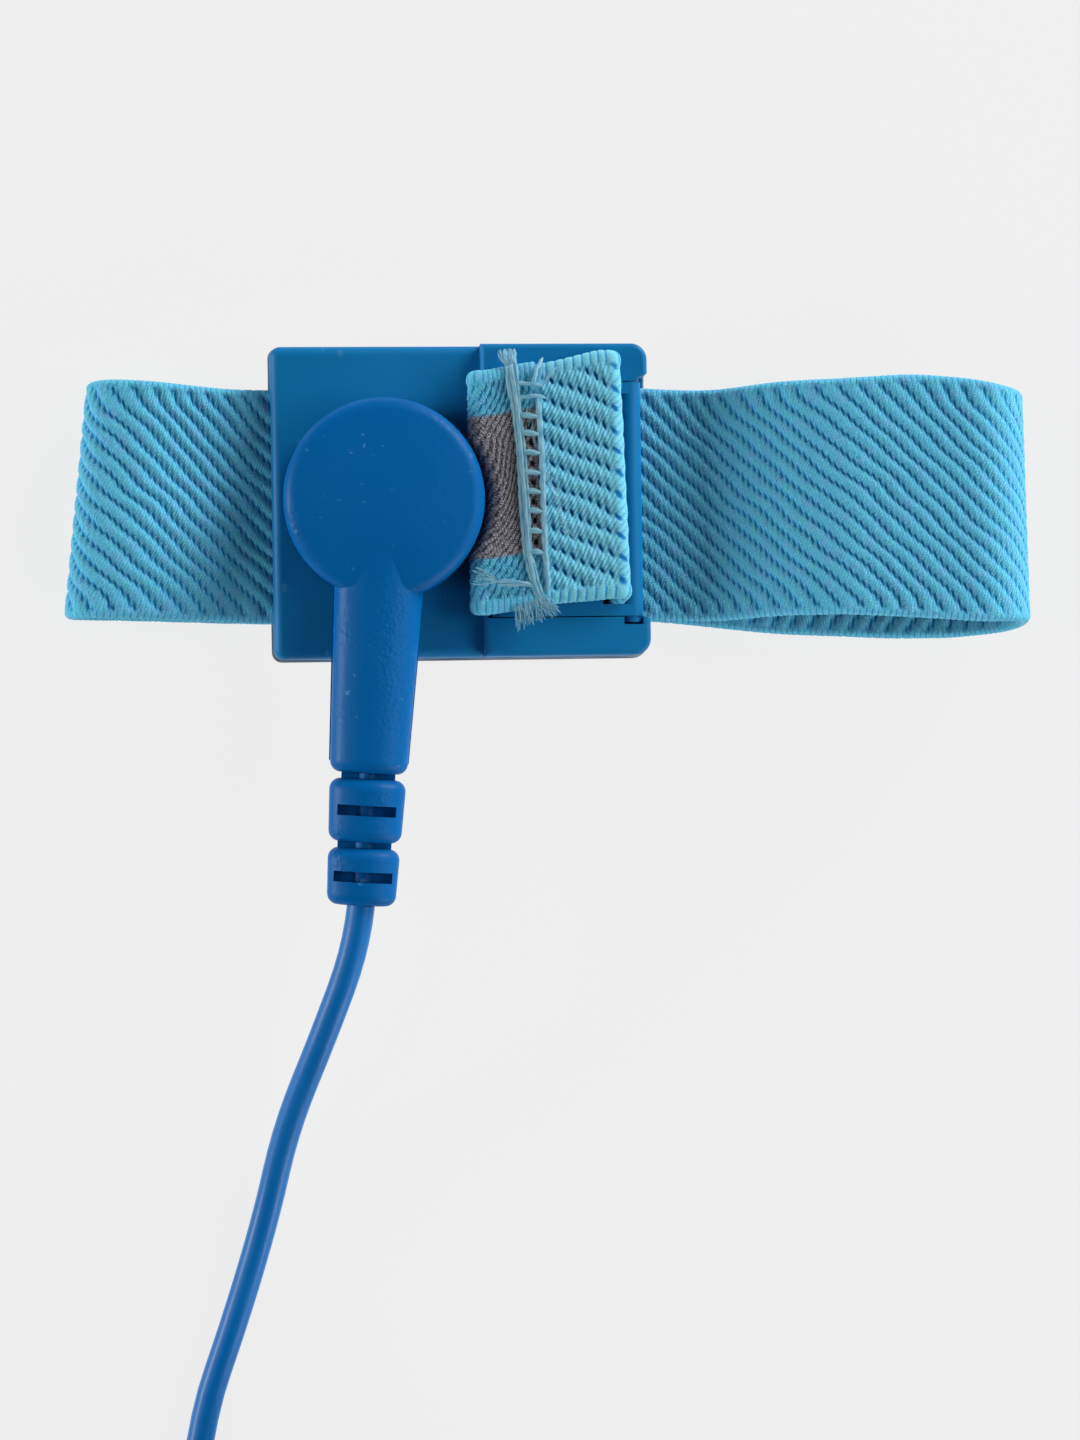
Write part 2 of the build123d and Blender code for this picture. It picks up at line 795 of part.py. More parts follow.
def coil_point(quarter):
    """Place and direction on the winding after a number of quarter turns."""
    layer = min(int(quarter / coil_quarters), coil_layers - 1)
    within = quarter - layer * coil_quarters
    inward = layer % 2 == 0
    radius = coil_outer - within / 4 * coil_pitch if inward else coil_inner + within / 4 * coil_pitch
    slope = -coil_pitch if inward else coil_pitch
    nearest = round(quarter / coil_quarters)
    offset = quarter - nearest * coil_quarters
    height = coil_base + layer * coil_pitch
    climb = 0.0
    turning = 0 < nearest < coil_layers and abs(offset) < 1
    if turning:
        height = coil_base + (nearest - 0.5) * coil_pitch
        climb = 1.5 * coil_pitch / 2
        slope = 0.0
    angle = math.pi + quarter * math.pi / 2
    outward = Vector(math.cos(angle), math.sin(angle), 0)
    along = Vector(-math.sin(angle), math.cos(angle), 0)
    place = Vector(*coil_center, height) + outward * radius
    if quarter == 0 or quarter == coil_layers * coil_quarters:
        slope = 0.0
    direction = along * radius * math.pi / 2 + outward * slope / 4 + Vector(0, 0, climb)
    return place, direction.normalized()


def coil_stops():
    """Quarter turns between which the winding is drawn: half turns, and quarters at a climb."""
    stops = [0]
    last = coil_layers * coil_quarters
    while stops[-1] < last:
        here = stops[-1]
        reversal = (int(here / coil_quarters) + 1) * coil_quarters
        climb_start = reversal - 1 if reversal < last else last
        if here < climb_start:
            stops.append(min(here + 2, climb_start))
        else:
            stops.append(here + 1)
    return stops


with BuildPart() as cord_coil:
    with BuildLine() as winding:
        nodes = [coil_point(stop) for stop in coil_stops()]
        lead_in = nodes[0][0] - nodes[0][1] * cord_diameter
        lead_out = nodes[-1][0] + nodes[-1][1] * cord_diameter
        Line(lead_in, nodes[0][0])
        for (start, start_way), (end, end_way) in zip(nodes, nodes[1:]):
            biarc(start, start_way, end, end_way)
        Line(nodes[-1][0], lead_out)
    with BuildSketch(Plane(origin=lead_in, x_dir=(1, 0, 0), z_dir=nodes[0][1])):
        RegularPolygon(cord_radius, 8)
    sweep()
finish(cord_coil, "cord_coil")

winding_wire = winding.wires()[0]
sample_step = 0.8
sample_count = round(winding_wire.length / sample_step)
samples = [tuple(winding_wire @ (index / sample_count)) for index in range(sample_count + 1)]
apart = round(2 * coil_inner / sample_step)
least = min(
    math.dist(samples[first], other)
    for first in range(sample_count + 1)
    for other in samples[first + apart:]
)
print("coil length", round(winding_wire.length, 1), "least gap", round(least - cord_diameter, 3))

# --- Tie round one side of the coil ------------------------------------------------------------

with BuildPart() as coil_tie:
    tie_middle_x = coil_center[0] + coil_mean_radius
    tie_inner_width = coil_outer - coil_inner + cord_diameter + 2 * tie_clear + coil_pitch / 2
    tie_inner_low = coil_base - cord_radius - cord_floor_gap
    tie_inner_top = coil_top + cord_radius + tie_clear
    tie_middle_z = (tie_inner_low + tie_inner_top) / 2
    tie_inner_height = tie_inner_top - tie_inner_low
    with BuildSketch(Plane.XZ.offset(-coil_center[1])):
        with Locations((tie_middle_x, tie_middle_z)):
            RectangleRounded(
                tie_inner_width + 2 * tie_thick,
                tie_inner_height + 2 * tie_thick,
                cord_radius + tie_thick,
            )
            RectangleRounded(tie_inner_width, tie_inner_height, cord_radius, mode=Mode.SUBTRACT)
    extrude(amount=tie_width / 2, both=True)
    # its two ends, twisted together
    with BuildSketch(Plane.YZ.offset(tie_middle_x + tie_inner_width / 2)):
        with Locations((coil_center[1], tie_middle_z)):
            SlotOverall(2.6 * tie_tail_radius, 1.6 * tie_tail_radius)
    extrude(amount=tie_tail)
finish(coil_tie, "coil_tie")

# --- Last stretch of cord, from the top of the coil to the plug ---------------------------------

tail_points = [
    (coil_edge_x, coil_center[1] - cord_diameter, coil_top),
    (coil_edge_x, coil_center[1] - 8.0, coil_top),
    (-19.2, -125.2, 8.5),
    (-19.2, -132.4, 5.9),
    (-15.4, -138.8, 4.4),
    (-8.9, plug_start[1], plug_axis_height),
    (plug_start[0], plug_start[1], plug_axis_height),
]
cord_tail = cord_tube(tail_points)
finish(cord_tail, "cord_tail")

# --- Plug: moulded grip, pin and slotted leaf sleeve ---------------------------------------------

plug_plane = Plane(origin=(*plug_start, plug_axis_height), x_dir=(1, 0, 0), z_dir=(0, -1, 0))
plug_axis = Axis(plug_plane.origin, (1, 0, 0))
plug_face = plug_length

with BuildPart() as plug_pin:
    with BuildSketch(plug_plane):
        with BuildLine():
            Polyline(
                (plug_face - pin_root, 0),
                (plug_face - pin_root, pin_collar_radius),
                (plug_face - pin_root + pin_collar_length, pin_collar_radius),
                (plug_face - pin_root + pin_collar_length, pin_radius),
                (plug_face, pin_radius),
                (plug_face, pin_collar_radius),
                (plug_face + pin_collar_length, pin_collar_radius),
                (plug_face + pin_collar_length, pin_radius),
                (plug_face + pin_reach - pin_collar_length, pin_radius),
                (plug_face + pin_reach - pin_collar_length, pin_radius + 0.5),
                (plug_face + pin_reach - 0.5, pin_radius + 0.3),
                (plug_face + pin_reach, pin_radius * 0.5),
                (plug_face + pin_reach, 0),
                close=True,
            )
        make_face()
    revolve(axis=plug_axis)
finish(plug_pin, "plug_pin")

leaf_start = plug_face + pin_collar_length + 0.2
leaf_end = plug_face + pin_reach - pin_collar_length - 0.2
with BuildPart() as plug_leaf:
    with BuildSketch(plug_plane):
        with BuildLine():
            sleeve_inner = pin_radius + running_gap
            leaf_middle = (leaf_start + leaf_end) / 2
            low = [
                (leaf_start, sleeve_inner),
                (leaf_start + leaf_cuff, sleeve_inner),
                (leaf_middle - leaf_crest / 2, leaf_bulge - leaf_thick),
                (leaf_middle + leaf_crest / 2, leaf_bulge - leaf_thick),
                (leaf_end - leaf_cuff, sleeve_inner),
                (leaf_end, sleeve_inner),
            ]
            high = [(along, across + leaf_thick) for along, across in reversed(low)]
            Polyline(*low, *high, close=True)
        make_face()
    revolve(axis=plug_axis)
    for index in range(leaf_slots // 2):
        slot_plane = plug_plane.rotated((90 + index * 360 / leaf_slots, 0, 0))
        with BuildSketch(slot_plane):
            with Locations((leaf_middle, 0)):
                SlotOverall(leaf_end - leaf_start - 2 * leaf_slot_end, leaf_slot_width)
        extrude(amount=plug_radius, both=True, mode=Mode.SUBTRACT)
finish(plug_leaf, "plug_leaf")

with BuildPart() as plug_boot:
    with BuildSketch(plug_plane):
        with BuildLine():
            grip = Spline(
                (0.25 * plug_length, plug_neck_radius + 0.2),
                (0.5 * plug_length, plug_radius - 0.25),
                (0.7 * plug_length, plug_radius - 0.05),
                tangents=((1, 0.25), (1, 0)),
            )
            Polyline(grip @ 1, (plug_length - 1, plug_nose_radius), (plug_length, plug_nose_radius - 0.6))
            Polyline(
                (plug_length, plug_nose_radius - 0.6),
                (plug_length, 0),
                (0, 0),
                (0, plug_neck_radius),
                grip @ 0,
            )
        make_face()
    revolve(axis=plug_axis)
    # finger grooves
    for index in range(groove_count):
        groove_at = plug_length * 0.55 + index * groove_pitch
        with BuildSketch(plug_plane):
            with Locations((groove_at, plug_radius + groove_lift)):
                Rectangle(groove_side, groove_side, rotation=45)
        revolve(axis=plug_axis, mode=Mode.SUBTRACT)
    add(plug_pin.part, mode=Mode.SUBTRACT)
finish(plug_boot, "plug_boot")

# --- Crocodile clip pushed over the pin: two sheet jaws, pivot and torsion spring ---------------

clip_origin = Vector(plug_start[0] + plug_length + clip_gap, plug_start[1], plug_axis_height)
clip_plane = Plane(origin=clip_origin, x_dir=(1, 0, 0), z_dir=(0, 0, 1))
clip_outer_half = clip_half_height + clip_nest_gap + clip_sheet
clip_nose = 1.2
clip_tooth_room = clip_length - clip_sheet - clip_tooth_start
clip_tooth_count = int(clip_tooth_room / clip_tooth_pitch)


def jaw_teeth(side):
    """Saw-tooth edge from the nose back to the throat, on one side of the mouth."""
    points = []
    crest = side * clip_tooth_gap / 2
    root = crest + side * clip_tooth_depth
    for index in reversed(range(clip_tooth_count)):
        tooth_at = clip_tooth_start + index * clip_tooth_pitch
        points.append((tooth_at + clip_tooth_pitch * 0.8, crest))
        points.append((tooth_at, root))
    return points


with BuildPart() as clip_pivot:
    with BuildSketch(clip_plane):
        with Locations((clip_pivot_at, 0)):
            Circle(clip_pin_radius)
    extrude(amount=clip_outer_half, both=True)
    for side in (1, -1):
        with BuildSketch(clip_plane.offset(side * clip_outer_half)):
            with Locations((clip_pivot_at, 0)):
                Circle(clip_pin_head)
        extrude(amount=side * clip_pin_head_thick)
finish(clip_pivot, "clip_pivot")

with BuildPart() as clip_fixed_jaw:
    # folded sheet jaw: back on -Y, open towards the mouth
    jaw_start = clip_barrel_length * 0.6
    back_low = -(clip_barrel_radius + clip_sheet * 0.8)
    back = [
        (jaw_start, back_low),
        (clip_pivot_at, -clip_belly * 0.85),
        (clip_tooth_start, -clip_belly),
        (clip_length * 0.87, -clip_belly * 0.8),
        (clip_length, -clip_nose),
    ]
    with BuildSketch(clip_plane):
        with BuildLine():
            Polyline(
                *back,
                (clip_length, -clip_tooth_gap / 2),
                *jaw_teeth(-1),
                (clip_tooth_start - clip_tooth_pitch, 0),
                (clip_pivot_at + clip_ear_radius, clip_ear_radius * 0.6),
                (clip_pivot_at, clip_ear_radius),
                (clip_pivot_at - clip_ear_radius, clip_ear_radius * 0.7),
                (jaw_start, clip_barrel_radius * 0.5),
                close=True,
            )
        make_face()
    extrude(amount=clip_half_height, both=True)
    with BuildSketch(clip_plane):
        with BuildLine():
            inside = [(along, across + clip_sheet) for along, across in back[:-1]]
            Polyline(
                (0, inside[0][1]),
                *inside,
                (clip_length - clip_sheet, -clip_nose + clip_sheet * 0.5),
                (clip_length - clip_sheet, clip_belly),
                (0, clip_belly),
                close=True,
            )
        make_face()
        with BuildLine():
            Polyline(
                (0, inside[0][1]),
                (0, -clip_belly),
                (clip_barrel_length, -clip_belly),
                (clip_barrel_length, inside[0][1]),
                close=True,
            )
        make_face(mode=Mode.SUBTRACT)
    extrude(amount=clip_half_height - clip_sheet, both=True, mode=Mode.SUBTRACT)

    # barrel over the pin, and its bore
    with BuildSketch(Plane(origin=clip_origin, x_dir=(0, 1, 0), z_dir=(1, 0, 0))):
        Circle(clip_barrel_radius)
    extrude(amount=clip_barrel_length)
    with BuildSketch(Plane(origin=clip_origin, x_dir=(0, 1, 0), z_dir=(1, 0, 0))):
        Circle(clip_barrel_bore)
    extrude(amount=clip_barrel_length, mode=Mode.SUBTRACT)
    add(clip_pivot.part, mode=Mode.SUBTRACT)
finish(clip_fixed_jaw, "clip_fixed_jaw")

with BuildPart() as clip_moving_jaw:
    handle_low = clip_handle_rise - clip_handle_depth
    crest_line = [
        (clip_handle_start, clip_handle_rise),
        (clip_handle_start + (clip_pivot_at - clip_handle_start) * 0.5, clip_handle_rise * 0.78),
        (clip_pivot_at, clip_belly * 1.15),
        (clip_tooth_start, clip_belly),
        (clip_length * 0.87, clip_belly * 0.8),
        (clip_length, clip_nose),
    ]
    with BuildSketch(clip_plane):
        with BuildLine():
            Polyline(
                *crest_line,
                (clip_length, clip_tooth_gap / 2),
                *jaw_teeth(1),
                (clip_pivot_at + clip_ear_radius, -clip_ear_radius * 0.4),
                (clip_pivot_at, -clip_ear_radius * 0.8),
                (clip_pivot_at - clip_ear_radius, -clip_ear_radius * 0.2),
                (clip_pivot_at - clip_ear_radius, clip_ear_radius),
                (clip_handle_start, handle_low),
                close=True,
            )
        make_face()
    extrude(amount=clip_outer_half, both=True)
    with BuildSketch(clip_plane):
        with BuildLine():
            inside = [(along, across - clip_sheet) for along, across in crest_line[1:-1]]
            Polyline(
                (0, clip_handle_rise - clip_sheet),
                (clip_handle_start, clip_handle_rise - clip_sheet),
                *inside,
                (clip_length - clip_sheet, clip_nose - clip_sheet * 0.5),
                (clip_length - clip_sheet, -clip_belly),
                (0, -clip_belly),
                close=True,
            )
        make_face()
    extrude(amount=clip_outer_half - clip_sheet, both=True, mode=Mode.SUBTRACT)
    with BuildSketch(clip_plane):
        with Locations((clip_pivot_at, 0)):
            Circle(clip_pin_radius + running_gap)
    extrude(amount=clip_outer_half, both=True, mode=Mode.SUBTRACT)
finish(clip_moving_jaw, "clip_moving_jaw")

with BuildPart() as clip_spring:
    spring_base = -clip_spring_half_turns * clip_spring_pitch / 4
    spring_nodes = []
    for half in range(clip_spring_half_turns + 1):
        angle = -math.pi / 2 + half * math.pi
        place = clip_origin + Vector(
            clip_pivot_at + clip_spring_radius * math.cos(angle),
            clip_spring_radius * math.sin(angle),
            spring_base + half * clip_spring_pitch / 2,
        )
        climb = clip_spring_pitch / (2 * math.pi)
        way = Vector(
            -clip_spring_radius * math.sin(angle),
            clip_spring_radius * math.cos(angle),
            climb,
        )
        spring_nodes.append((place, way.normalized()))
    leg_start = spring_nodes[0][0] - spring_nodes[0][1] * clip_spring_leg
    leg_end = spring_nodes[-1][0] + spring_nodes[-1][1] * clip_spring_leg
    with BuildLine() as spring_path:
        Line(leg_start, spring_nodes[0][0])
        for (start, start_way), (end, end_way) in zip(spring_nodes, spring_nodes[1:]):
            biarc(start, start_way, end, end_way)
        Line(spring_nodes[-1][0], leg_end)
    with BuildSketch(Plane(origin=leg_start, z_dir=spring_nodes[0][1])):
        RegularPolygon(clip_spring_wire / 2, 8)
    sweep()
finish(clip_spring, "clip_spring")
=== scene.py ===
import math
import bpy
import numpy as np
from mathutils import Euler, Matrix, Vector


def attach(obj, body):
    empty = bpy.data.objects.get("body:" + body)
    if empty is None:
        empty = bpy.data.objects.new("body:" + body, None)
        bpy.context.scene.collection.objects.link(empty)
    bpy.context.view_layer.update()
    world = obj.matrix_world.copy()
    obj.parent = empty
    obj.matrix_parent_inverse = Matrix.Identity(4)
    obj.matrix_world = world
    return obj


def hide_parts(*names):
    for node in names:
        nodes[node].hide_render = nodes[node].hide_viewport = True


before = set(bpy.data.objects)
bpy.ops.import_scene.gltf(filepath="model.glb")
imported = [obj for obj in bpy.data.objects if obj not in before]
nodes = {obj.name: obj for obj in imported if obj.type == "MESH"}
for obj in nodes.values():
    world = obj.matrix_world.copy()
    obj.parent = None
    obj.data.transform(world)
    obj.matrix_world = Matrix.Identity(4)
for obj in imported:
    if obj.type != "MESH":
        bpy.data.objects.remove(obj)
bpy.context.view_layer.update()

mm = 0.001
print("frame loaded:", len(nodes), "nodes")

studio = {
    "cameraAt": (-7.6, -20.0, 240.0),  # mm, nearly straight above the strap
    "cameraTurn": (0.297, -5.115, -0.89),  # degrees
    "lens": 67.5,
    "sensor": 36.0,
    "sight": (0.01, 20.0),  # m, the nearest and furthest that the camera sees
    "floorReach": 3.0,  # m each way
    "floorDrop": 0.02,  # mm under the strap, so that the two don't flicker
    "floorGrey": 0.07,
    "floorGlow": 0.805,
    "skyTop": 0.0,
    "skySide": 0.11,
    "skyFrom": 0.84,  # the sky fades from its side to its top brightness between these rises
    "skyTo": 0.98,
    "boxDistance": 0.75,  # m
    "boxSize": 0.36,
    "boxes": {  # degrees round from +X, degrees up, watts
        "leftBox": (180, 7, 6.9),
        "leftHighBox": (180, 42, 0.7),
        "farRightBox": (45, 15, 6.6),
        "nearRightBox": (315, 14, 2.9),
        "rightHighBox": (0, 42, 1.5),
    },
}

bpy.context.scene.view_settings.view_transform = "Standard"
cameraData = bpy.data.cameras.new("camera")
cameraData.lens = studio["lens"]
cameraData.sensor_width = studio["sensor"]
cameraData.clip_start, cameraData.clip_end = studio["sight"]
camera = bpy.data.objects.new("camera", cameraData)
camera.location = [c * mm for c in studio["cameraAt"]]
camera.rotation_euler = Euler([math.radians(a) for a in studio["cameraTurn"]], "XYZ")
bpy.context.scene.collection.objects.link(camera)
bpy.context.scene.camera = camera


def softbox(name, turn, rise, watts):
    # a square light at one distance all round, facing the origin
    data = bpy.data.lights.new(name, "AREA")
    data.shape = "SQUARE"
    data.size = studio["boxSize"]
    data.energy = watts
    turn, rise = math.radians(turn), math.radians(rise)
    place = Vector((math.cos(rise) * math.cos(turn), math.cos(rise) * math.sin(turn), math.sin(rise)))
    lamp = bpy.data.objects.new(name, data)
    lamp.location = place * studio["boxDistance"]
    lamp.rotation_euler = (-place).to_track_quat("-Z", "Y").to_euler()
    bpy.context.scene.collection.objects.link(lamp)


for boxName, (turn, rise, watts) in studio["boxes"].items():
    softbox(boxName, turn, rise, watts)


class Wire:
    # a socket that takes part in sums, so that shader maths reads as plain expressions

    def __init__(self, shading, socket):
        self.shading = shading
        self.socket = socket

    def maths(self, operation, *terms):
        return self.shading.node("ShaderNodeMath", {"operation": operation}, dict(enumerate(terms)))

    def floor(self):
        return self.maths("FLOOR", self)

    def nearest(self):
        return self.maths("ROUND", self)

    def cosine(self):
        return self.maths("COSINE", self)

    def size(self):
        return self.maths("ABSOLUTE", self)

    def __add__(self, other):
        return self.maths("ADD", self, other)

    def __sub__(self, other):
        return self.maths("SUBTRACT", self, other)

    def __mul__(self, other):
        return self.maths("MULTIPLY", self, other)

    def __truediv__(self, other):
        return self.maths("DIVIDE", self, other)

    def __rsub__(self, other):
        return self.maths("SUBTRACT", other, self)

    __radd__ = __add__
    __rmul__ = __mul__


class Shading:
    # a node tree with one method for any node, and short names for those used most

    def __init__(self, tree):
        self.tree = tree

    def plug(self, socket, value):
        if isinstance(value, Wire):
            self.tree.links.new(value.socket, socket)
        else:
            socket.default_value = value

    def node(self, kind, settings=None, sockets=None, out=0):
        made = self.tree.nodes.new(kind)
        for label, value in (settings or {}).items():
            setattr(made, label, value)
        for label, value in (sockets or {}).items():
            self.plug(made.inputs[label], value)
        return Wire(self, made.outputs[out])

    def place(self):
        return self.node("ShaderNodeTexCoord", out="Object")

    def cloth(self):
        return self.node("ShaderNodeUVMap", {"uv_map": "cloth"})

    def read(self, label):
        return self.node("ShaderNodeAttribute", {"attribute_name": label}, None, "Fac")

    def noise(self, scale, detail=2.0, at=None, rough=0.5):
        sockets = {"Vector": at or self.place(), "Scale": scale, "Detail": detail, "Roughness": rough}
        return self.node("ShaderNodeTexNoise", None, sockets, "Fac")

    def cells(self, scale):
        sockets = {"Vector": self.place(), "Scale": scale}
        return self.node("ShaderNodeTexVoronoi", {"feature": "F1"}, sockets, "Distance")

    def stretch(self, at, scale, turn=0.0):
        sockets = {"Vector": at, "Scale": scale, "Rotation": (0, 0, math.radians(turn))}
        return self.node("ShaderNodeMapping", None, sockets)

    def band(self, value, low, high, bottom=0.0, top=1.0):
        # a smooth step from bottom to top while the value goes from low to high
        sockets = {"Value": value, "From Min": low, "From Max": high, "To Min": bottom, "To Max": top}
        return self.node("ShaderNodeMapRange", {"interpolation_type": "SMOOTHSTEP"}, sockets)

    def blend(self, first, second, share):
        settings = {"data_type": "RGBA", "blend_type": "MIX"}
        return self.node("ShaderNodeMix", settings, {0: share, 6: first, 7: second}, 2)


class Finish(Shading):
    # one material, built round its Principled shader

    def __init__(self, name, **fixed):
        self.material = bpy.data.materials.new(name)
        self.material.use_nodes = True
        super().__init__(self.material.node_tree)
        self.shader = self.tree.nodes["Principled BSDF"]
        for label, value in fixed.items():
            self.plug(self.shader.inputs[label.replace("_", " ")], value)

    def wears(self, colour, rough=None, height=None, depth=0.0, strength=1.0):
        # depth is in mm
        self.plug(self.shader.inputs["Base Color"], colour)
        if rough is not None:
            self.plug(self.shader.inputs["Roughness"], rough)
        if height is not None:
            sockets = {"Height": height, "Distance": depth * mm, "Strength": strength}
            self.plug(self.shader.inputs["Normal"], self.node("ShaderNodeBump", None, sockets))
        return self.material


def shade(red, green, blue):
    # linear colour from the 0 to 255 values that a screen shows
    def line(value):
        value /= 255
        return value / 12.92 if value <= 0.04045 else ((value + 0.055) / 1.055) ** 2.4
    return (line(red), line(green), line(blue), 1.0)


tones = {
    "case": shade(4, 104, 160),
    "casePatch": shade(8, 114, 170),
    "head": shade(0, 85, 149),
    "headPatch": shade(0, 94, 159),
    "jacket": shade(0, 92, 160),
    "jacketPatch": shade(0, 104, 172),
    "mark": shade(96, 150, 196),  # pale scuffs
    "tie": (0.02, 0.02, 0.022, 1.0),
    "tiePatch": (0.045, 0.045, 0.048, 1.0),
    "lacquer": shade(196, 170, 120),
    "lacquerPatch": shade(214, 190, 142),
    "rib": shade(90, 188, 219),
    "ribMauve": shade(108, 176, 219),
    "ribGreen": shade(92, 194, 208),
    # painted shade: the two blues below darken the weave's grooves, the dips between its yarns and ridges,
    # and its holes
    "groove": shade(26, 146, 206),
    "hole": shade(4, 110, 176),
    "fluff": shade(150, 214, 232),
    "stretched": shade(144, 226, 240),  # the tail is pulled out, which makes it paler
    "stripe": shade(186, 182, 188),
    "stripeDark": shade(78, 82, 96),
    # painted shade: the near-black below darkens the grey stripe's grooves, holes and dips, and the needle
    # holes
    "stripeHoleShade": shade(30, 32, 42),
    "thread": shade(150, 200, 214),
    "threadDark": shade(96, 166, 196),
}


def floorFinish():
    grey, glow = studio["floorGrey"], studio["floorGlow"]
    f = Finish("floorPaper", Roughness=0.9, Specular_IOR_Level=0.0,
               Emission_Color=(glow, glow, glow, 1), Emission_Strength=1.0)
    fleck = grey * 0.985
    return f.wears(f.blend((grey, grey, grey, 1), (fleck, fleck, fleck, 1), f.noise(400.0, 3.0)))


plastics = {  # noises as scale per metre and detail, depths in mm
    "casePlastic": {  # satin moulding with a fine spark-eroded grain, faint flow patches and rubbed marks
        "tones": ("case", "casePatch"), "patch": (60.0, 3.0), "rough": (0.38, 0.5), "specular": 0.15,
        "grain": (2600.0, 3.0), "depth": 0.02, "strength": 0.35,
        "marks": {"noise": (900.0, 2.0), "stretch": (1.0, 0.35, 1.0), "turn": 20, "from": (0.70, 0.76),
                  "share": 0.25},
    },
    "headPlastic": {  # softer plastic with a leathery grain in patches and small pale scuffs
        "tones": ("head", "headPatch"), "patch": (80.0, 3.0), "rough": (0.34, 0.46), "specular": 0.08,
        "grain": (1500.0, 4.0), "depth": 0.08, "strength": 0.6,
        "marks": {"noise": (1300.0, 3.0), "stretch": (1.0, 1.0, 1.0), "turn": 0, "from": (0.69, 0.76),
                  "share": 0.45},
        "leather": {"cells": 2600.0, "patch": (140.0, 2.0), "from": (0.42, 0.62), "grain": 0.5},
    },
    "cordJacket": {
        "tones": ("jacket", "jacketPatch"), "patch": (120.0, 3.0), "rough": (0.34, 0.44), "specular": 0.2,
        "grain": (2200.0, 2.0), "depth": 0.02, "strength": 0.3,
    },
    "tiePlastic": {
        "tones": ("tie", "tiePatch"), "patch": (400.0, 3.0), "rough": (0.42, 0.6), "specular": 0.5,
        "grain": (1800.0, 2.0), "depth": 0.03, "strength": 0.4,
    },
}


def plastic(name):
    # two tones and a roughness that go with slow patches, over a fine grain
    look = plastics[name]
    f = Finish(name, Specular_IOR_Level=look["specular"])
    patch = f.noise(*look["patch"])
    grain = f.noise(*look["grain"])
    first, second = look["tones"]
    colour = f.blend(tones[first], tones[second], patch)
    if "marks" in look:
        marks = look["marks"]
        spots = f.noise(*marks["noise"], f.stretch(f.place(), marks["stretch"], marks["turn"]))
        colour = f.blend(colour, tones["mark"], f.band(spots, *marks["from"], 0.0, marks["share"]))
    if "leather" in look:
        leather = look["leather"]
        where = f.band(f.noise(*leather["patch"]), *leather["from"])
        grain = grain * leather["grain"] + f.cells(leather["cells"]) * where
    return f.wears(colour, f.band(patch, 0.3, 0.7, *look["rough"]), grain, look["depth"], look["strength"])


metals = {  # colour and roughness
    "skinSteel": ((0.72, 0.72, 0.71, 1), 0.45),
    "snapNickel": ((0.72, 0.71, 0.68, 1), 0.18),
    "springSteel": ((0.55, 0.55, 0.54, 1), 0.3),
    "terminalBrass": ((0.72, 0.55, 0.28, 1), 0.28),
    "clipSteel": ((0.7, 0.69, 0.66, 1), 0.24),
}


def metal(name):
    # fine lines along X, with the roughness going from 0.8 to 1.35 of its value over them
    colour, rough = metals[name]
    f = Finish(name, Metallic=1.0)
    line = f.noise(900.0, 3.0, f.stretch(f.place(), (0.15, 3.0, 3.0)))
    dull = tuple(c * 0.86 for c in colour[:3]) + (1.0,)
    tone = f.blend(colour, dull, f.noise(300.0, 2.0))
    return f.wears(tone, f.band(line, 0.3, 0.7, rough * 0.8, rough * 1.35), line, 0.01, 0.3)


def resistorLacquer():
    f = Finish("resistorLacquer", Coat_Weight=0.5)
    patch = f.noise(500.0, 3.0)
    colour = f.blend(tones["lacquer"], tones["lacquerPatch"], patch)
    return f.wears(colour, f.band(patch, 0.3, 0.7, 0.25, 0.4), patch, 0.02, 0.3)


def clearThread():
    # clear nylon, a little cloudy, with finer filaments along it
    f = Finish("clearThread", Specular_IOR_Level=0.3, Alpha=0.6)
    line = f.noise(1.0, 3.0, f.stretch(f.cloth(), (0.8, 6.0, 1.0)))
    colour = f.blend(tones["threadDark"], tones["thread"], f.band(line, 0.35, 0.62))
    return f.wears(colour, f.band(line, 0.3, 0.7, 0.3, 0.5), line, 0.03, 0.4)


elastic = {  # mm
    "width": 20.0,
    "thick": 1.3,
    "edgeColumns": 7,  # points round each edge of the fabric
    "tightest": 0.02,  # the inner side of a fold never turns tighter than this
    "stripe": (-5.5, 6.2),  # grey conductive yarns on the skin side, from and to
    "stripeSoft": 0.2,
    "stripeDepth": (0.1, 0.5),  # the stripe fades in between these depths under the middle of the fabric
    "loopWeave": {"pick": 0.52, "repeat": 1.63, "slope": 0.92},  # along, across, rib's rise over run
    "tailWeave": {"pick": 0.78, "repeat": 1.71, "slope": 0.58},
    "hemWeave": {"pick": 0.45, "repeat": 0.95, "slope": 1.45},
    "squeezeFrom": 2.6,  # the ribs come closer together over this much of the width at each edge
    "squeeze": 0.13,
    "wander": (0.05, 0.04),  # how far the ribs stray in long and in short waves, in repeats
    "pickWander": 0.12,  # how far the picks stray, in picks
    "step": (0.15, 0.85),  # the part of a pick in which a rib steps across
    "grooveDepth": 0.17,
    "openedDeeper": 0.8,  # where the fabric is stretched open, a groove is deeper by this share
    "grooveHalf": 0.07,  # repeats, half the width of a groove between its steps
    "grooveStep": 0.10,  # what the middle of a step adds to that
    "openedStep": -0.03,
    "grooveBetween": 0.35,  # share of its depth that a groove keeps between its steps
    "grooveFills": (0.1, 0.8),  # how steep the step is where the groove reaches its whole depth
    "openedFills": (0.4, 0.9),
    "crown": 0.2,  # height of a rib's rounded back
    "knuckle": 0.03,  # height of each pick on a rib
    "loopSelvedge": 0.5,
    "tailSelvedge": 1.05,
    "selvedgeSoft": (-0.3, 0.15),
    "selvedgeRidge": 0.08,
    "selvedgeSink": 0.03,
    "pitDepth": 0.35,
}


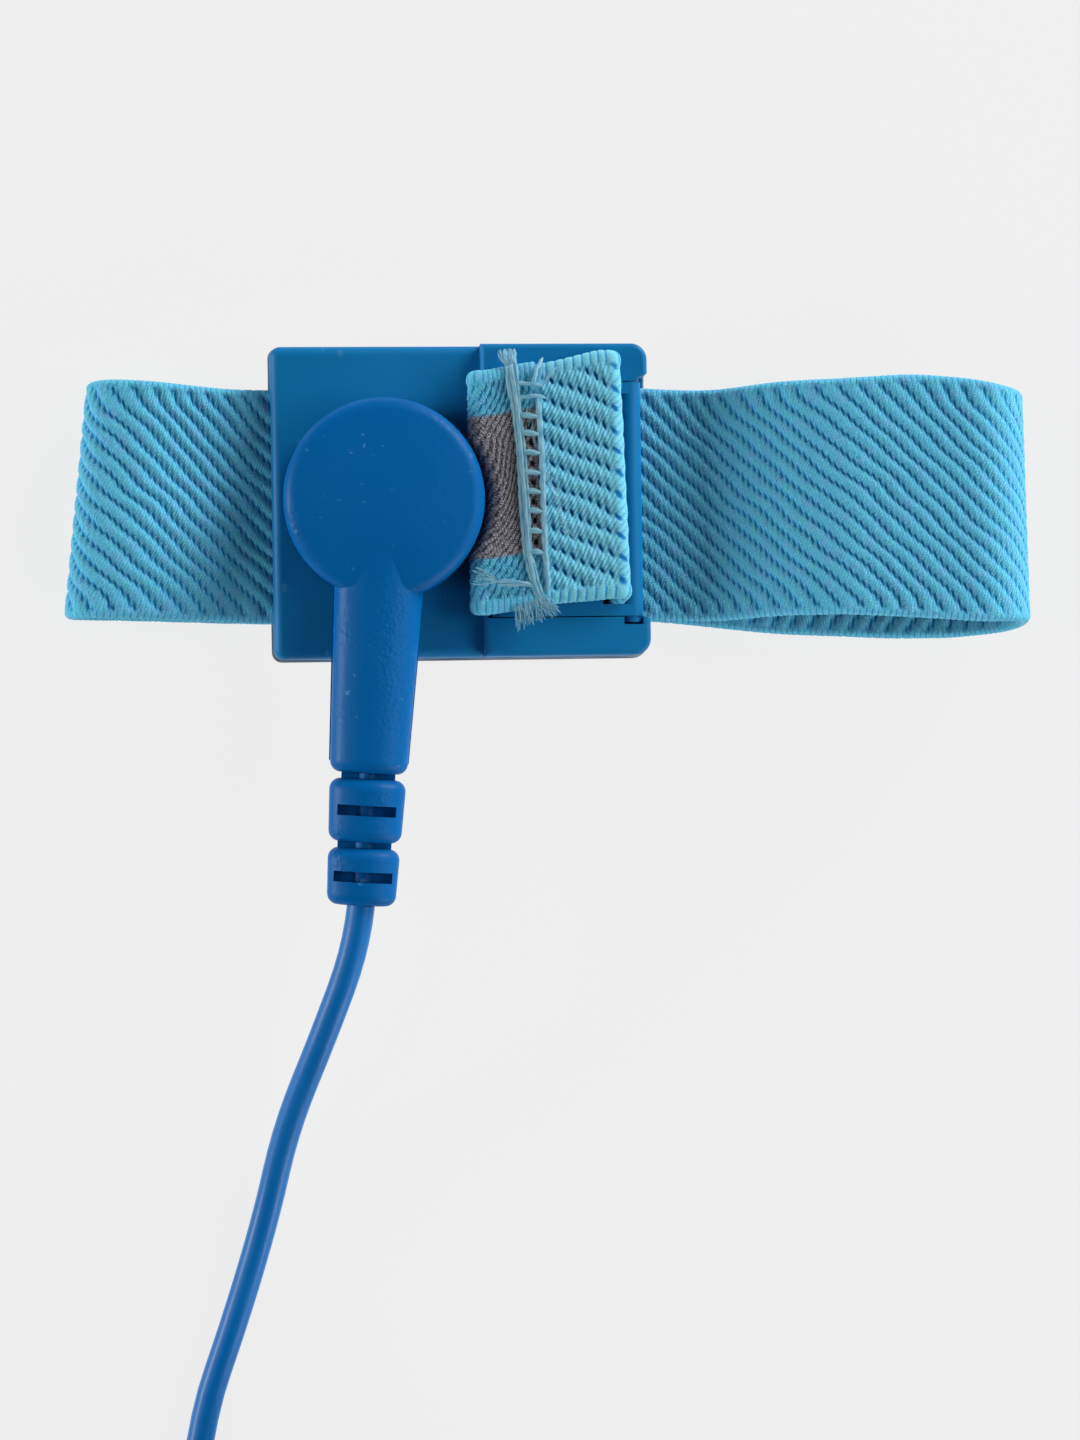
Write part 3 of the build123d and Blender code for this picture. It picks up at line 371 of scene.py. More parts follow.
def bandFabric():
    # Each rib line steps down once a pick. Line = across - shift * (whole picks + smooth step of the
    # part pick), and a groove is where the line is near a whole number, widest in the middle of the step
    # and darkest there with painted shade. Braid = cos(2 pi (2 picks + 2.6 across)) gives the yarns that
    # cross each rib. Shade is painted into the grooves, the weave's holes, the dips between the crossing
    # yarns and between the selvedge's ridges, and the needle holes.
    f = Finish("bandFabric", Specular_IOR_Level=0.12, Sheen_Weight=0.05, Sheen_Roughness=0.5)
    pick, across, shift = f.read("pick"), f.read("across"), f.read("shift")
    opened, stripe, selvedge = f.read("opened"), f.read("stripe"), f.read("selvedge")
    whole = pick.floor()
    part = pick - whole
    line = across - shift * (whole + f.band(part, *elastic["step"]))
    ridge = (part * 2 - 1).size()
    steep = 1 - ridge
    off = (line - line.nearest()).size()
    fluff = f.noise(6.0, 4.0, f.cloth(), 0.65)
    fibre = f.noise(3.0, 4.0, f.stretch(f.cloth(), (1.0, 5.0, 1.0), 35), 0.6)
    tint = f.noise(0.9, 2.0, f.cloth())

    # the masks below mark where shade is painted: the grooves, and the weave's holes in the middle of each
    # step
    away = off / (steep * (0.135 - opened * 0.035) + 0.04) + (fluff - 0.5) * 1.3
    groove = (1 - f.band(away, 0.2, 1.75)) * (1 - selvedge)
    groove = groove * (1 - (opened * 0.45 + 0.55) * (1 - f.band(steep, 0.15, 0.75)))
    holeShadeMask = groove * f.band(steep, 0.25, 0.8)
    braid = ((pick * 2 + across * 2.6) * (2 * math.pi)).cosine() * (1 - selvedge)

    blue = f.blend(tones["rib"], tones["ribMauve"], f.band(tint, 0.5, 0.68, 0.0, 0.8))
    blue = f.blend(blue, tones["ribGreen"], f.band(tint, 0.32, 0.46, 0.7, 0.0))
    blue = f.blend(blue, tones["fluff"], f.band(fibre, 0.5, 0.66, 0.0, 0.75))
    blue = f.blend(blue, tones["stretched"], opened * 0.4)
    # painted shade in the dips between the crossing yarns
    blue = f.blend(blue, tones["groove"], f.band(braid + (fluff - 0.5) * 3, -0.2, -1.0, 0.0, 0.45))
    # painted shade along the grooves and in the weave's holes
    blue = f.blend(blue, tones["groove"], groove * 0.8)
    blue = f.blend(blue, tones["hole"], holeShadeMask * (opened * 0.3 + 0.7))

    grey = f.blend(tones["stripeDark"], tones["stripe"], f.band(fibre, 0.35, 0.62))
    # painted shade in the grey stripe's dips between yarns, its grooves and its holes
    grey = f.blend(grey, tones["stripeHoleShade"], f.band(braid, 0.0, -1.0, 0.0, 0.4))
    grey = f.blend(grey, tones["stripeHoleShade"], groove * 0.5 + holeShadeMask * 0.3)

    colour = f.blend(blue, grey, stripe)
    # painted shade in the dips between the selvedge's ridges
    colour = f.blend(colour, tones["groove"], selvedge * f.band(ridge, 0.6, 1.0, 0.0, 0.9))
    # painted shade in the needle holes, which are also sunk into the fabric
    colour = f.blend(colour, tones["stripeHoleShade"], f.read("pit"))
    height = fibre + fluff * 0.6 + braid * (opened * 0.1 + 0.15)
    return f.wears(colour, f.band(fibre, 0.3, 0.7, 0.8, 0.95), height, 0.12, 0.9)


finishes = {
    "resistorLacquer": resistorLacquer(),
    "bandFabric": bandFabric(),
    "clearThread": clearThread(),
    **{name: plastic(name) for name in plastics},
    **{name: metal(name) for name in metals},
}

wearsFinish = {
    "casePlastic": ["housing_cover", "clasp_lever"],
    "headPlastic": ["head_moulding", "plug_boot"],
    "skinSteel": ["back_plate"],
    "snapNickel": ["snap_stud", "stud_post", "snap_socket", "socket_rivet", "plug_pin", "clip_pivot"],
    "springSteel": ["socket_spring", "plug_leaf", "clip_spring"],
    "terminalBrass": ["terminal_tag", "resistor_leads", "crimp_ferrules", "cord_core"],
    "clipSteel": ["clip_fixed_jaw", "clip_moving_jaw"],
    "resistorLacquer": ["resistor_body"],
    "tiePlastic": ["coil_tie"],
    "bandFabric": ["band_loop", "band_tail"],
    "clearThread": ["hem_thread"],
    "cordJacket": ["cord_run", "cord_coil", "cord_tail"],
}
for finishName, names in wearsFinish.items():
    for name in names:
        mesh = nodes[name].data
        mesh.materials.clear()
        mesh.materials.append(finishes[finishName])
print("finishes ready:", len(finishes))

floorMesh = bpy.data.meshes.new("floor")
reach = studio["floorReach"]
corners = [(-reach, -reach, 0), (reach, -reach, 0), (reach, reach, 0), (-reach, reach, 0)]
floorMesh.from_pydata(corners, [], [(0, 1, 2, 3)])
floorMesh.materials.append(floorFinish())
floor = bpy.data.objects.new("floor", floorMesh)
floor.location = (0, 0, -studio["floorDrop"] * mm)
bpy.context.scene.collection.objects.link(floor)

world = bpy.data.worlds.new("studioWorld")
bpy.context.scene.world = world
world.use_nodes = True
sky = Shading(world.node_tree)
direction = sky.node("ShaderNodeTexCoord", out="Generated")
upward = sky.node("ShaderNodeSeparateXYZ", None, {0: direction}, "Z")
background = world.node_tree.nodes["Background"]
skyGlow = sky.band(upward, studio["skyFrom"], studio["skyTo"], studio["skySide"], studio["skyTop"])
sky.plug(background.inputs["Strength"], skyGlow)
sky.plug(background.inputs["Color"], (1.0, 1.0, 1.0, 1.0))
print("studio ready")

lead = {  # mm
    "diameter": 2.4,
    "length": 1800.0,
    "run": [(-2.488, -34.711, 8.8), (-2.892, -38.2, 8.8), (-5.7, -45.6, 7.8), (-9.15, -54.2, 3.4),
            (-11.0, -62.2, 1.25), (-13.75, -71.0, 1.25), (-17.2, -80.5, 1.25), (-18.55, -94.5, 1.6),
            (-18.55, -108.6, 1.6)],
    "tail": [(-18.55, -113.4, 10.18), (-18.55, -119.0, 10.18), (-19.2, -125.2, 8.5), (-19.2, -132.4, 5.9),
             (-15.4, -138.8, 4.4), (-8.9, -142.5, 3.95), (-1.4, -142.5, 3.95)],
    "coilCentre": (2.3, -111.0),
    "coilBase": 1.6,
    "coilOuter": 20.85,
    "coilInner": 7.28,
    "coilPitch": 2.86,
    "coilLayers": 4,
    "quartersPerLayer": 19,
    "pointsPerQuarter": 4,
    "farEnd": ["coil_tie", "plug_boot", "plug_pin", "plug_leaf", "clip_fixed_jaw", "clip_moving_jaw",
               "clip_pivot", "clip_spring"],
}


def smooth(value, low, high):
    # 0 below low, 1 above high, and a smooth step between
    t = np.clip((value - low) / (high - low), 0, 1)
    return t * t * (3 - 2 * t)


def coilPoints():
    # Radius falls or grows by one pitch each turn, layer by layer. Height rises by a pitch round each
    # reversal. Points stand a little outside the circle, because the curve runs inside its points.
    perLayer, perQuarter, pitch = lead["quartersPerLayer"], lead["pointsPerQuarter"], lead["coilPitch"]
    quarter = (np.arange(lead["coilLayers"] * perLayer * perQuarter) + 0.5) / perQuarter
    layer = np.floor(quarter / perLayer)
    inward = (quarter - layer * perLayer) / 4 * pitch
    radius = np.where(layer % 2 == 0, lead["coilOuter"] - inward, lead["coilInner"] + inward)
    radius = radius / math.cos(math.pi / 4 / perQuarter)
    reversal = np.clip(np.round(quarter / perLayer), 1, lead["coilLayers"] - 1)
    beyond = quarter - reversal * perLayer
    step = np.where(np.abs(beyond) < 1, reversal - 1 + smooth(beyond, -1, 1), layer)
    angle = math.pi + quarter * math.pi / 2
    x = lead["coilCentre"][0] + radius * np.cos(angle)
    y = lead["coilCentre"][1] + radius * np.sin(angle)
    return list(zip(x, y, lead["coilBase"] + step * pitch))


def makeCord():
    points = lead["run"] + coilPoints() + lead["tail"]
    curve = bpy.data.curves.new("leadCord", "CURVE")
    curve.dimensions = "3D"
    curve.resolution_u = 5
    curve.bevel_depth = lead["diameter"] / 2 * mm
    curve.bevel_resolution = 4
    curve.use_fill_caps = True
    spline = curve.splines.new("NURBS")
    spline.points.add(len(points) - 1)
    for point, (x, y, z) in zip(spline.points, points):
        point.co = (x * mm, y * mm, z * mm, 1.0)
    spline.order_u = 3
    spline.use_endpoint_u = True
    curve.materials.append(finishes["cordJacket"])
    cord = bpy.data.objects.new("leadCord", curve)
    bpy.context.scene.collection.objects.link(cord)
    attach(cord, "lead")
    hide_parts("cord_run", "cord_coil", "cord_tail")


makeCord()
print("cord laid")


def tubePiece(name, grids, cloths, finish, body, values=None):
    # Closed tubes of quads in one piece. In each grid the rows follow the path and the columns go round it,
    # in mm. Each cloth holds its grid's places on the cloth, and values are for a single grid.
    corners, sizes, first = [], [], 0
    for grid in grids:
        rows, cols = grid.shape[:2]
        index = first + np.arange(rows * cols).reshape(rows, cols)
        beside = np.roll(index, -1, axis=1)
        quads = np.stack([index[:-1], beside[:-1], beside[1:], index[1:]], axis=-1)
        corners += [quads.ravel(), index[0][::-1], index[-1]]
        sizes += [np.full(quads.size // 4, 4), [cols, cols]]
        first += rows * cols
    corners = np.concatenate(corners).astype(np.int32)
    sizes = np.concatenate(sizes).astype(np.int32)
    starts = (np.cumsum(sizes) - sizes).astype(np.int32)
    places = np.concatenate([grid.reshape(-1, 3) for grid in grids])
    cloth = np.concatenate([part.reshape(-1, 2) for part in cloths])
    mesh = bpy.data.meshes.new(name)
    mesh.vertices.add(first)
    mesh.vertices.foreach_set("co", (places * mm).ravel())
    mesh.loops.add(len(corners))
    mesh.loops.foreach_set("vertex_index", corners)
    mesh.polygons.add(len(sizes))
    mesh.polygons.foreach_set("loop_start", starts)
    mesh.polygons.foreach_set("loop_total", sizes)
    mesh.update(calc_edges=True)
    mesh.polygons.foreach_set("use_smooth", np.ones(len(sizes), bool))
    mesh.uv_layers.new(name="cloth").data.foreach_set("uv", cloth[corners].astype(np.float32).ravel())
    for label, value in (values or {}).items():
        attribute = mesh.attributes.new(label, "FLOAT", "POINT")
        attribute.data.foreach_set("value", value.ravel().astype(np.float32))
    mesh.materials.append(finishes[finish])
    piece = bpy.data.objects.new(name, mesh)
    bpy.context.scene.collection.objects.link(piece)
    mesh.validate()
    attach(piece, body)
    print(name, len(sizes), "faces")
    return piece


def onArc(centre, radius, angles):
    # centre + radius * (cos angle, sin angle)
    return np.stack([centre[0] + radius * np.cos(angles), centre[1] + radius * np.sin(angles)], axis=1)


def lengths(path):
    # from each point of a path to the next
    return np.linalg.norm(np.diff(path, axis=0), axis=1)


def roundedPath(corners, radii, steps):
    # straight runs with an arc of the given radius at each inner corner, at places about a step apart
    corners = [np.array(c, float) for c in corners]
    parts, here = [], corners[0]
    for before, corner, after, radius, step in zip(corners, corners[1:], corners[2:], radii, steps):
        inWay = (corner - before) / np.linalg.norm(corner - before)
        outWay = (after - corner) / np.linalg.norm(after - corner)
        turn = math.atan2(inWay[0] * outWay[1] - inWay[1] * outWay[0], inWay @ outWay)
        cut = radius * math.tan(abs(turn) / 2)
        first = corner - inWay * cut
        count = max(2, round(np.linalg.norm(first - here) / step))
        parts.append(here + np.linspace(0, 1, count, endpoint=False)[:, None] * (first - here))
        count = max(3, round(radius * abs(turn) / step))
        sweep = np.linspace(0, turn, count, endpoint=False)[:, None]
        side = np.array([-inWay[1], inWay[0]]) * math.copysign(1, turn)
        parts.append(first + radius * (np.sin(np.abs(sweep)) * inWay + (1 - np.cos(sweep)) * side))
        here = corner + outWay * cut
    count = max(2, round(np.linalg.norm(corners[-1] - here) / steps[-1]))
    parts.append(here + np.linspace(0, 1, count)[:, None] * (corners[-1] - here))
    return np.concatenate(parts)


def weaveNumbers(weave, along, across):
    # across = (place across, squeezed near the edges) / repeat + slow wander, pick = along / pick length
    # and wander, shift = repeats that a rib moves across in one pick
    near = np.maximum(0, np.abs(across) - (elastic["width"] / 2 - elastic["squeezeFrom"]))
    squeezed = np.sign(across) * (np.abs(across) - elastic["squeeze"] * near * near)
    slow, quick = elastic["wander"]
    swing = slow * np.sin(along * 0.83 + 1.7 * np.sin(across * 0.61))
    swing = swing + quick * np.sin(across * 1.9 + along * 0.37)
    return {
        "across": squeezed / weave["repeat"] + swing,
        "pick": along / weave["pick"] + elastic["pickWander"] * np.sin(across * 0.9 + along * 0.21),
        "shift": np.full_like(along, weave["slope"] * weave["pick"] / weave["repeat"]),
    }


def ribs(values, bold):
    # Height = - depth * groove - crown * (1 + cos(2 pi line)) / 2 - knuckle * cos(2 pi pick), and fine
    # ridges at the selvedge instead. Groove = exp(-(distance from the line / its half width) squared) *
    # share kept. It is widest and deepest in the middle of a pick, where the line steps across, and fabric
    # that is stretched open keeps none of it between the steps.
    opened, edge = values["opened"], values["selvedge"]
    whole = np.floor(values["pick"])
    part = values["pick"] - whole
    line = values["across"] - values["shift"] * (whole + smooth(part, *elastic["step"]))
    ridge = np.abs(2 * part - 1)
    steep = 1 - ridge
    off = np.abs(line - np.round(line))
    between = elastic["grooveBetween"]
    kept = (between + (1 - between) * smooth(steep, *elastic["grooveFills"])) * (1 - opened)
    kept = kept + smooth(steep, *elastic["openedFills"]) * opened
    halfWidth = elastic["grooveHalf"] + (elastic["grooveStep"] + elastic["openedStep"] * opened) * steep
    groove = np.exp(-(off / halfWidth) ** 2) * kept
    deep = elastic["grooveDepth"] * (1 + elastic["openedDeeper"] * opened) * bold
    height = -deep * groove - elastic["crown"] * bold * (0.5 + 0.5 * np.cos(2 * np.pi * line))
    height = height - elastic["knuckle"] * np.cos(2 * np.pi * part)
    fine = elastic["selvedgeRidge"] * (1 - ridge ** 3) - elastic["selvedgeSink"]
    return height * (1 - edge) + fine * edge


def section(outer, inner):
    # closed outline of a flat strip with round edges: place across, place through, and which way is out
    r = elastic["thick"] / 2
    half = elastic["width"] / 2 - r
    bow = np.linspace(0, np.pi, elastic["edgeColumns"] + 2)[1:-1]
    across = np.concatenate([np.linspace(-half, half, outer), half + r * np.sin(bow),
                             np.linspace(half, -half, inner), -half - r * np.sin(bow)])
    through = np.concatenate([np.full(outer, r), r * np.cos(bow), np.full(inner, -r), -r * np.cos(bow)])
    outAcross = np.concatenate([np.zeros(outer), np.sin(bow), np.zeros(inner), -np.sin(bow)])
    outThrough = np.concatenate([np.ones(outer), np.cos(bow), -np.ones(inner), -np.cos(bow)])
    return across, through, outAcross, outThrough


def strip(path, start, columns, weaves, edge, middle, widen, shift, bold, opened=None, pits=None):
    # Each point is path + normal * (through + ribs), y = middle + across * widen, and x is then shifted.
    # Where the path turns tighter than half the thickness, its inner side is drawn in, smoothed over seven
    # rows. The two weaves are the face's and the back's. Start is how far along the cloth the path begins.
    across, through, outAcross, outThrough = section(*columns)
    way = np.gradient(path, axis=0)
    way /= np.linalg.norm(way, axis=1)[:, None]
    normal = np.stack([way[:, 1], -way[:, 0]], axis=1)
    along = start + np.concatenate([[0], np.cumsum(lengths(path))])
    heading = np.unwrap(np.arctan2(way[:, 1], way[:, 0]))
    bendRate = np.maximum(np.gradient(heading, along), 1e-6)
    drawn = np.minimum(1, (1 / bendRate - elastic["tightest"]) / (elastic["thick"] / 2))
    drawn = np.convolve(np.pad(drawn, 3, mode="edge"), np.ones(7) / 7, mode="valid")[:, None]

    s = along[:, None] + 0 * across[None, :]
    a = across[None, :] + 0 * s
    t = through[None, :] + 0 * s
    x0, z0 = path[:, :1], path[:, 1:]
    face, back = (weaveNumbers(weave, s, a) for weave in weaves)
    values = {label: np.where(t >= 0, face[label], back[label]) for label in face}
    values["opened"] = opened(x0) * (t > 0) if opened else 0 * s
    rim = elastic["width"] / 2 - edge
    values["selvedge"] = smooth(np.abs(a), *(rim + soft for soft in elastic["selvedgeSoft"]))
    (left, right), soft = elastic["stripe"], elastic["stripeSoft"]
    inStripe = smooth(a, left - soft, left + soft) * (1 - smooth(a, right - soft, right + soft))
    values["stripe"] = smooth(-t, *elastic["stripeDepth"]) * inStripe

    height = ribs(values, bold(x0, z0))
    lift = np.where(t < 0, t * drawn, t) + outThrough * height
    y = middle(x0, z0) + (a + outAcross * height) * widen(x0, z0)
    x = x0 + normal[:, :1] * lift
    z = z0 + normal[:, 1:] * lift
    x = x + shift(x, y, z)
    values["pit"] = pits(x, y, z) if pits else 0 * s
    z = z - elastic["pitDepth"] * values["pit"]
    return np.stack([x, y, z], axis=-1), np.stack([s, a], axis=-1), values


loop = {  # mm
    "leftCorners": [(-5.8, 3.6), (-13.2, 3.6), (-21.0, 6.2), (-25.95, 6.2), (-25.95, 0.72), (6.0, 0.72)],
    "leftBends": [7, 9, 2.7, 2.6],
    "leftSteps": [0.2, 0.13, 0.13, 0.13, 0.24],
    "lowerCorners": [(6.0, 0.72), (50.0, 0.72)],
    "lowerSteps": [0.2],
    "rightCorners": [(50.0, 0.72), (56.0, 0.72), (56.0, 11.05), (38.0, 11.05), (27.5, 4.3), (18.9, 4.3)],
    "rightBends": [5.15, 5.15, 12, 12],
    "rightSteps": [0.16, 0.15, 0.13, 0.13, 0.13],
    "endColumns": (146, 66),  # points across the outer and the inner side
    "lowerColumns": (96, 120),
    "lowerLayer": (1.5, 9.0),  # z: below the first it is the lower layer, above the second the upper one
    "leftPart": (-26.0, -9.0),  # x: what is done to the left end fades out over this
    "rightPart": (20.0, 40.0),  # x: what is done to the right end fades in over this
    "foldPart": (44.0, 56.0),
    "middle": {"at": -0.15, "left": 0.62, "right": -0.1, "fold": -0.7, "lower": -1.75},  # y
    "width": {"at": 1.012, "left": 0.008, "fold": 0.035},  # shares of the flat width
    "leftWide": (-26.0, -12.0),
    "foldWide": (38.0, 47.0, 50.0, 56.0),  # x: in over the first two and out over the last two
    "leftTurn": (0.109, -25.5, -10.0),  # slant of the fold, and x from where to where it fades out
    "rightTurn": (0.02, 40.0, 56.0),
    "flatter": (0.55, 49.0, 55.0, 4.0, 9.0),  # ribs: the share that goes, over which x and over which z
}


def loopMiddle(x, z):
    # Upper layer = at + left end + right end + fold. The lower one goes over to its own line at the right.
    shifts = loop["middle"]
    right = smooth(x, *loop["rightPart"])
    left = 1 - smooth(x, *loop["leftPart"])
    lower = right * (1 - smooth(z, *loop["lowerLayer"]))
    fold = right * shifts["fold"] * smooth(x, *loop["foldPart"])
    upper = shifts["at"] + right * shifts["right"] + fold + left * shifts["left"]
    return upper * (1 - lower) + shifts["lower"] * lower


def loopWiden(x, z):
    # the fabric is a little wider at the left fold and where it comes down to the right fold
    shares, (first, second, third, fourth) = loop["width"], loop["foldWide"]
    fold = smooth(x, first, second) * (1 - smooth(x, third, fourth))
    return shares["at"] + shares["fold"] * fold + shares["left"] * (1 - smooth(x, *loop["leftWide"]))


def loopShift(x, y, z):
    # the folds aren't quite square to the band: x moves by y times a slant at each end
    (left, leftFrom, leftTo), (right, rightFrom, rightTo) = loop["leftTurn"], loop["rightTurn"]
    return left * y * (1 - smooth(x, leftFrom, leftTo)) - right * y * smooth(x, rightFrom, rightTo)


def loopBold(x, z):
    # the ribs flatten where the band bends over the open fold
    share, left, right, low, high = loop["flatter"]
    return 1 - share * smooth(x, left, right) * smooth(z, low, high)


def makeLoop():
    weave = elastic["loopWeave"]
    left = roundedPath(loop["leftCorners"], loop["leftBends"], loop["leftSteps"])
    lower = roundedPath(loop["lowerCorners"], [], loop["lowerSteps"])
    right = roundedPath(loop["rightCorners"], loop["rightBends"], loop["rightSteps"])
    end = 0.0
    for name, path, columns, restsOn in (("bandLeft", left, loop["endColumns"], "housing_cover"),
                                         ("bandLower", lower, loop["lowerColumns"], "floor"),
                                         ("bandRight", right, loop["endColumns"], "housing_cover")):
        grid, cloth, values = strip(path, end, columns, (weave, weave), elastic["loopSelvedge"],
                                    loopMiddle, loopWiden, loopShift, loopBold)
        end = cloth[-1, 0, 0]
        piece = tubePiece(name, [grid], [cloth], "bandFabric", "strap", values)
        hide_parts("band_loop")
    return end


clothEnd = makeLoop()
print("band made")

tail = {  # mm
    "gapBefore": 3.0,  # length of cloth between the loop's end and the tail's start
    "riserX": 19.92,
    "riserStart": 5.1,
    "bar": (21.6, 6.2),  # the tail goes up round this bar and folds back over the lever
    "barClear": 1.68,
    "barTo": 140.0,  # degrees round the bar
    "turnRadius": 0.40,
    "turnPoints": 9,  # on each of the first three parts of the path
    "level": 7.9,
    "foldX": 7.9,
    "hemLevel": 9.3,
    "hemEdge": 13.45,
    "foldRadius": 0.69,
    "step": 0.13,
    "columns": (146, 146),
    "underSlot": (6.4, 7.7),  # z: what is done to the part under the slot fades out over this
    "middle": {"at": 0.45, "slant": 0.155, "from": 8.8, "to": 19.0, "underSlot": -0.5},  # y, slant over x
    "width": {"at": 1.045, "bar": 0.03, "underSlot": 0.05},  # shares of the flat width
    "barWide": (14.0, 19.0),
    "hemPart": (8.55, 9.3),  # z: the hem is above this
    "hemSlant": (0.05, 0.8, 8.2, 12.5),  # slant of the cut edge, y that it turns about, and over which x
    "barSlant": (0.033, 1.4, 17.0, 20.5),
    "foldLeft": 7.25,
    "discRadius": 8.78,
    "discPress": (8.0, 13.0),  # x: the disc pushes the fold to the right, and that fades out over this
    "openedFrom": (13.3, 14.3),  # x: the fabric is stretched open beyond this
    "flatHem": (0.3, 8.6, 9.2),  # ribs: the share that goes, and over which z
    "flatBar": (0.7, 19.0, 20.2),
    "stitches": [(12.61, 6.12), (12.78, 4.63), (12.85, 2.84), (12.87, 1.27), (12.9, -0.44), (12.96, -2.01),
                 (13.03, -3.86)],
    "needle": {  # each hole lies a little back from its stitch
        "back": 0.12,
        "halfAlong": 0.22,
        "halfAcross": 0.3,
        "above": (9.5, 9.7),  # z: holes only in the hem's upper side
    },
}


def tailPath():
    # straight up, an arc round the bar, a tight turn to the left, the lever's top, the fold and the hem
    count, (barX, barZ) = tail["turnPoints"], tail["bar"]
    clear, radius = tail["barClear"], tail["turnRadius"]
    rise = np.linspace(tail["riserStart"], barZ, count, endpoint=False)
    up = np.stack([np.full(count, tail["riserX"]), rise], axis=1)
    end = math.radians(tail["barTo"])
    roundBar = onArc((barX, barZ), clear, np.linspace(math.pi, end, count, endpoint=False))
    # the two arcs meet with one heading, so the turn's centre is on the line through the bar's centre
    head = end - math.pi / 2
    centre = (barX + clear * math.cos(end) - radius * math.sin(head),
              barZ + clear * math.sin(end) + radius * math.cos(head))
    over = onArc(centre, radius, np.linspace(head - math.pi / 2, math.pi / 2, count, endpoint=False))
    flat = roundedPath([(centre[0], centre[1] + radius), (tail["foldX"], tail["level"]),
                        (tail["foldX"], tail["hemLevel"]), (tail["hemEdge"], tail["hemLevel"])],
                       [tail["foldRadius"]] * 2, [tail["step"]] * 3)
    return np.concatenate([up, roundBar, over, flat])


def tailMiddle(x, z):
    # the tail slants towards +Y on its way to the bar, and comes back under the slot
    line = tail["middle"]
    way = np.clip(x, line["from"], line["to"]) - line["from"]
    under = 1 - smooth(z, *tail["underSlot"])
    return line["at"] + line["slant"] * way + line["underSlot"] * under


def tailWiden(x, z):
    # the tail spreads a little wider than the loop, most of all round the bar and down through the slot
    shares = tail["width"]
    under = 1 - smooth(z, *tail["underSlot"])
    return shares["at"] + shares["bar"] * smooth(x, *tail["barWide"]) + shares["underSlot"] * under


def tailShift(x, y, z):
    # the hem's cut edge slants, the fold bends round the head's disc, and the turn at the bar is almost
    # square to the tail
    hem, hemMiddle, hemLeft, hemRight = tail["hemSlant"]
    bar, barMiddle, barLeft, barRight = tail["barSlant"]
    slant = -hem * (y - hemMiddle) * smooth(z, *tail["hemPart"]) * smooth(x, hemLeft, hemRight)
    bend = np.sqrt(np.maximum(tail["discRadius"] ** 2 - y ** 2, 0)) - tail["foldLeft"]
    press = np.maximum(0, bend) * (1 - smooth(x, *tail["discPress"]))
    return slant + press - bar * (y - barMiddle) * smooth(x, barLeft, barRight)


def tailBold(x, z):
    # the ribs are flatter on the hem and round the bar
    (hem, low, high), (bar, left, right) = tail["flatHem"], tail["flatBar"]
    return 1 - hem * smooth(z, low, high) - bar * smooth(x, left, right)


def tailOpened(x):
    # 0 near the hem and 1 towards the bar
    return smooth(x, *tail["openedFrom"])


def tailPits(x, y, z):
    # needle holes: 1 in the middle of each and 0 outside an oval about it
    needle, found = tail["needle"], np.zeros_like(x)
    for holeX, holeY in tail["stitches"]:
        along = (x - holeX + needle["back"]) / needle["halfAlong"]
        across = (y - holeY) / needle["halfAcross"]
        found = np.maximum(found, np.exp(-(along ** 2 + across ** 2) ** 2))
    return found * smooth(z, *needle["above"])


def makeTail(start):
    path = tailPath()
    weaves = (elastic["tailWeave"], elastic["hemWeave"])
    grid, cloth, values = strip(path, start, tail["columns"], weaves, elastic["tailSelvedge"],
                                tailMiddle, tailWiden, tailShift, tailBold, tailOpened, tailPits)
    piece = tubePiece("bandTail", [grid], [cloth], "bandFabric", "clasp", values)
    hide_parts("band_tail")
    (cloth[-1, 0, 0] - start) * mm


makeTail(clothEnd + tail["gapBefore"])
print("tail made")

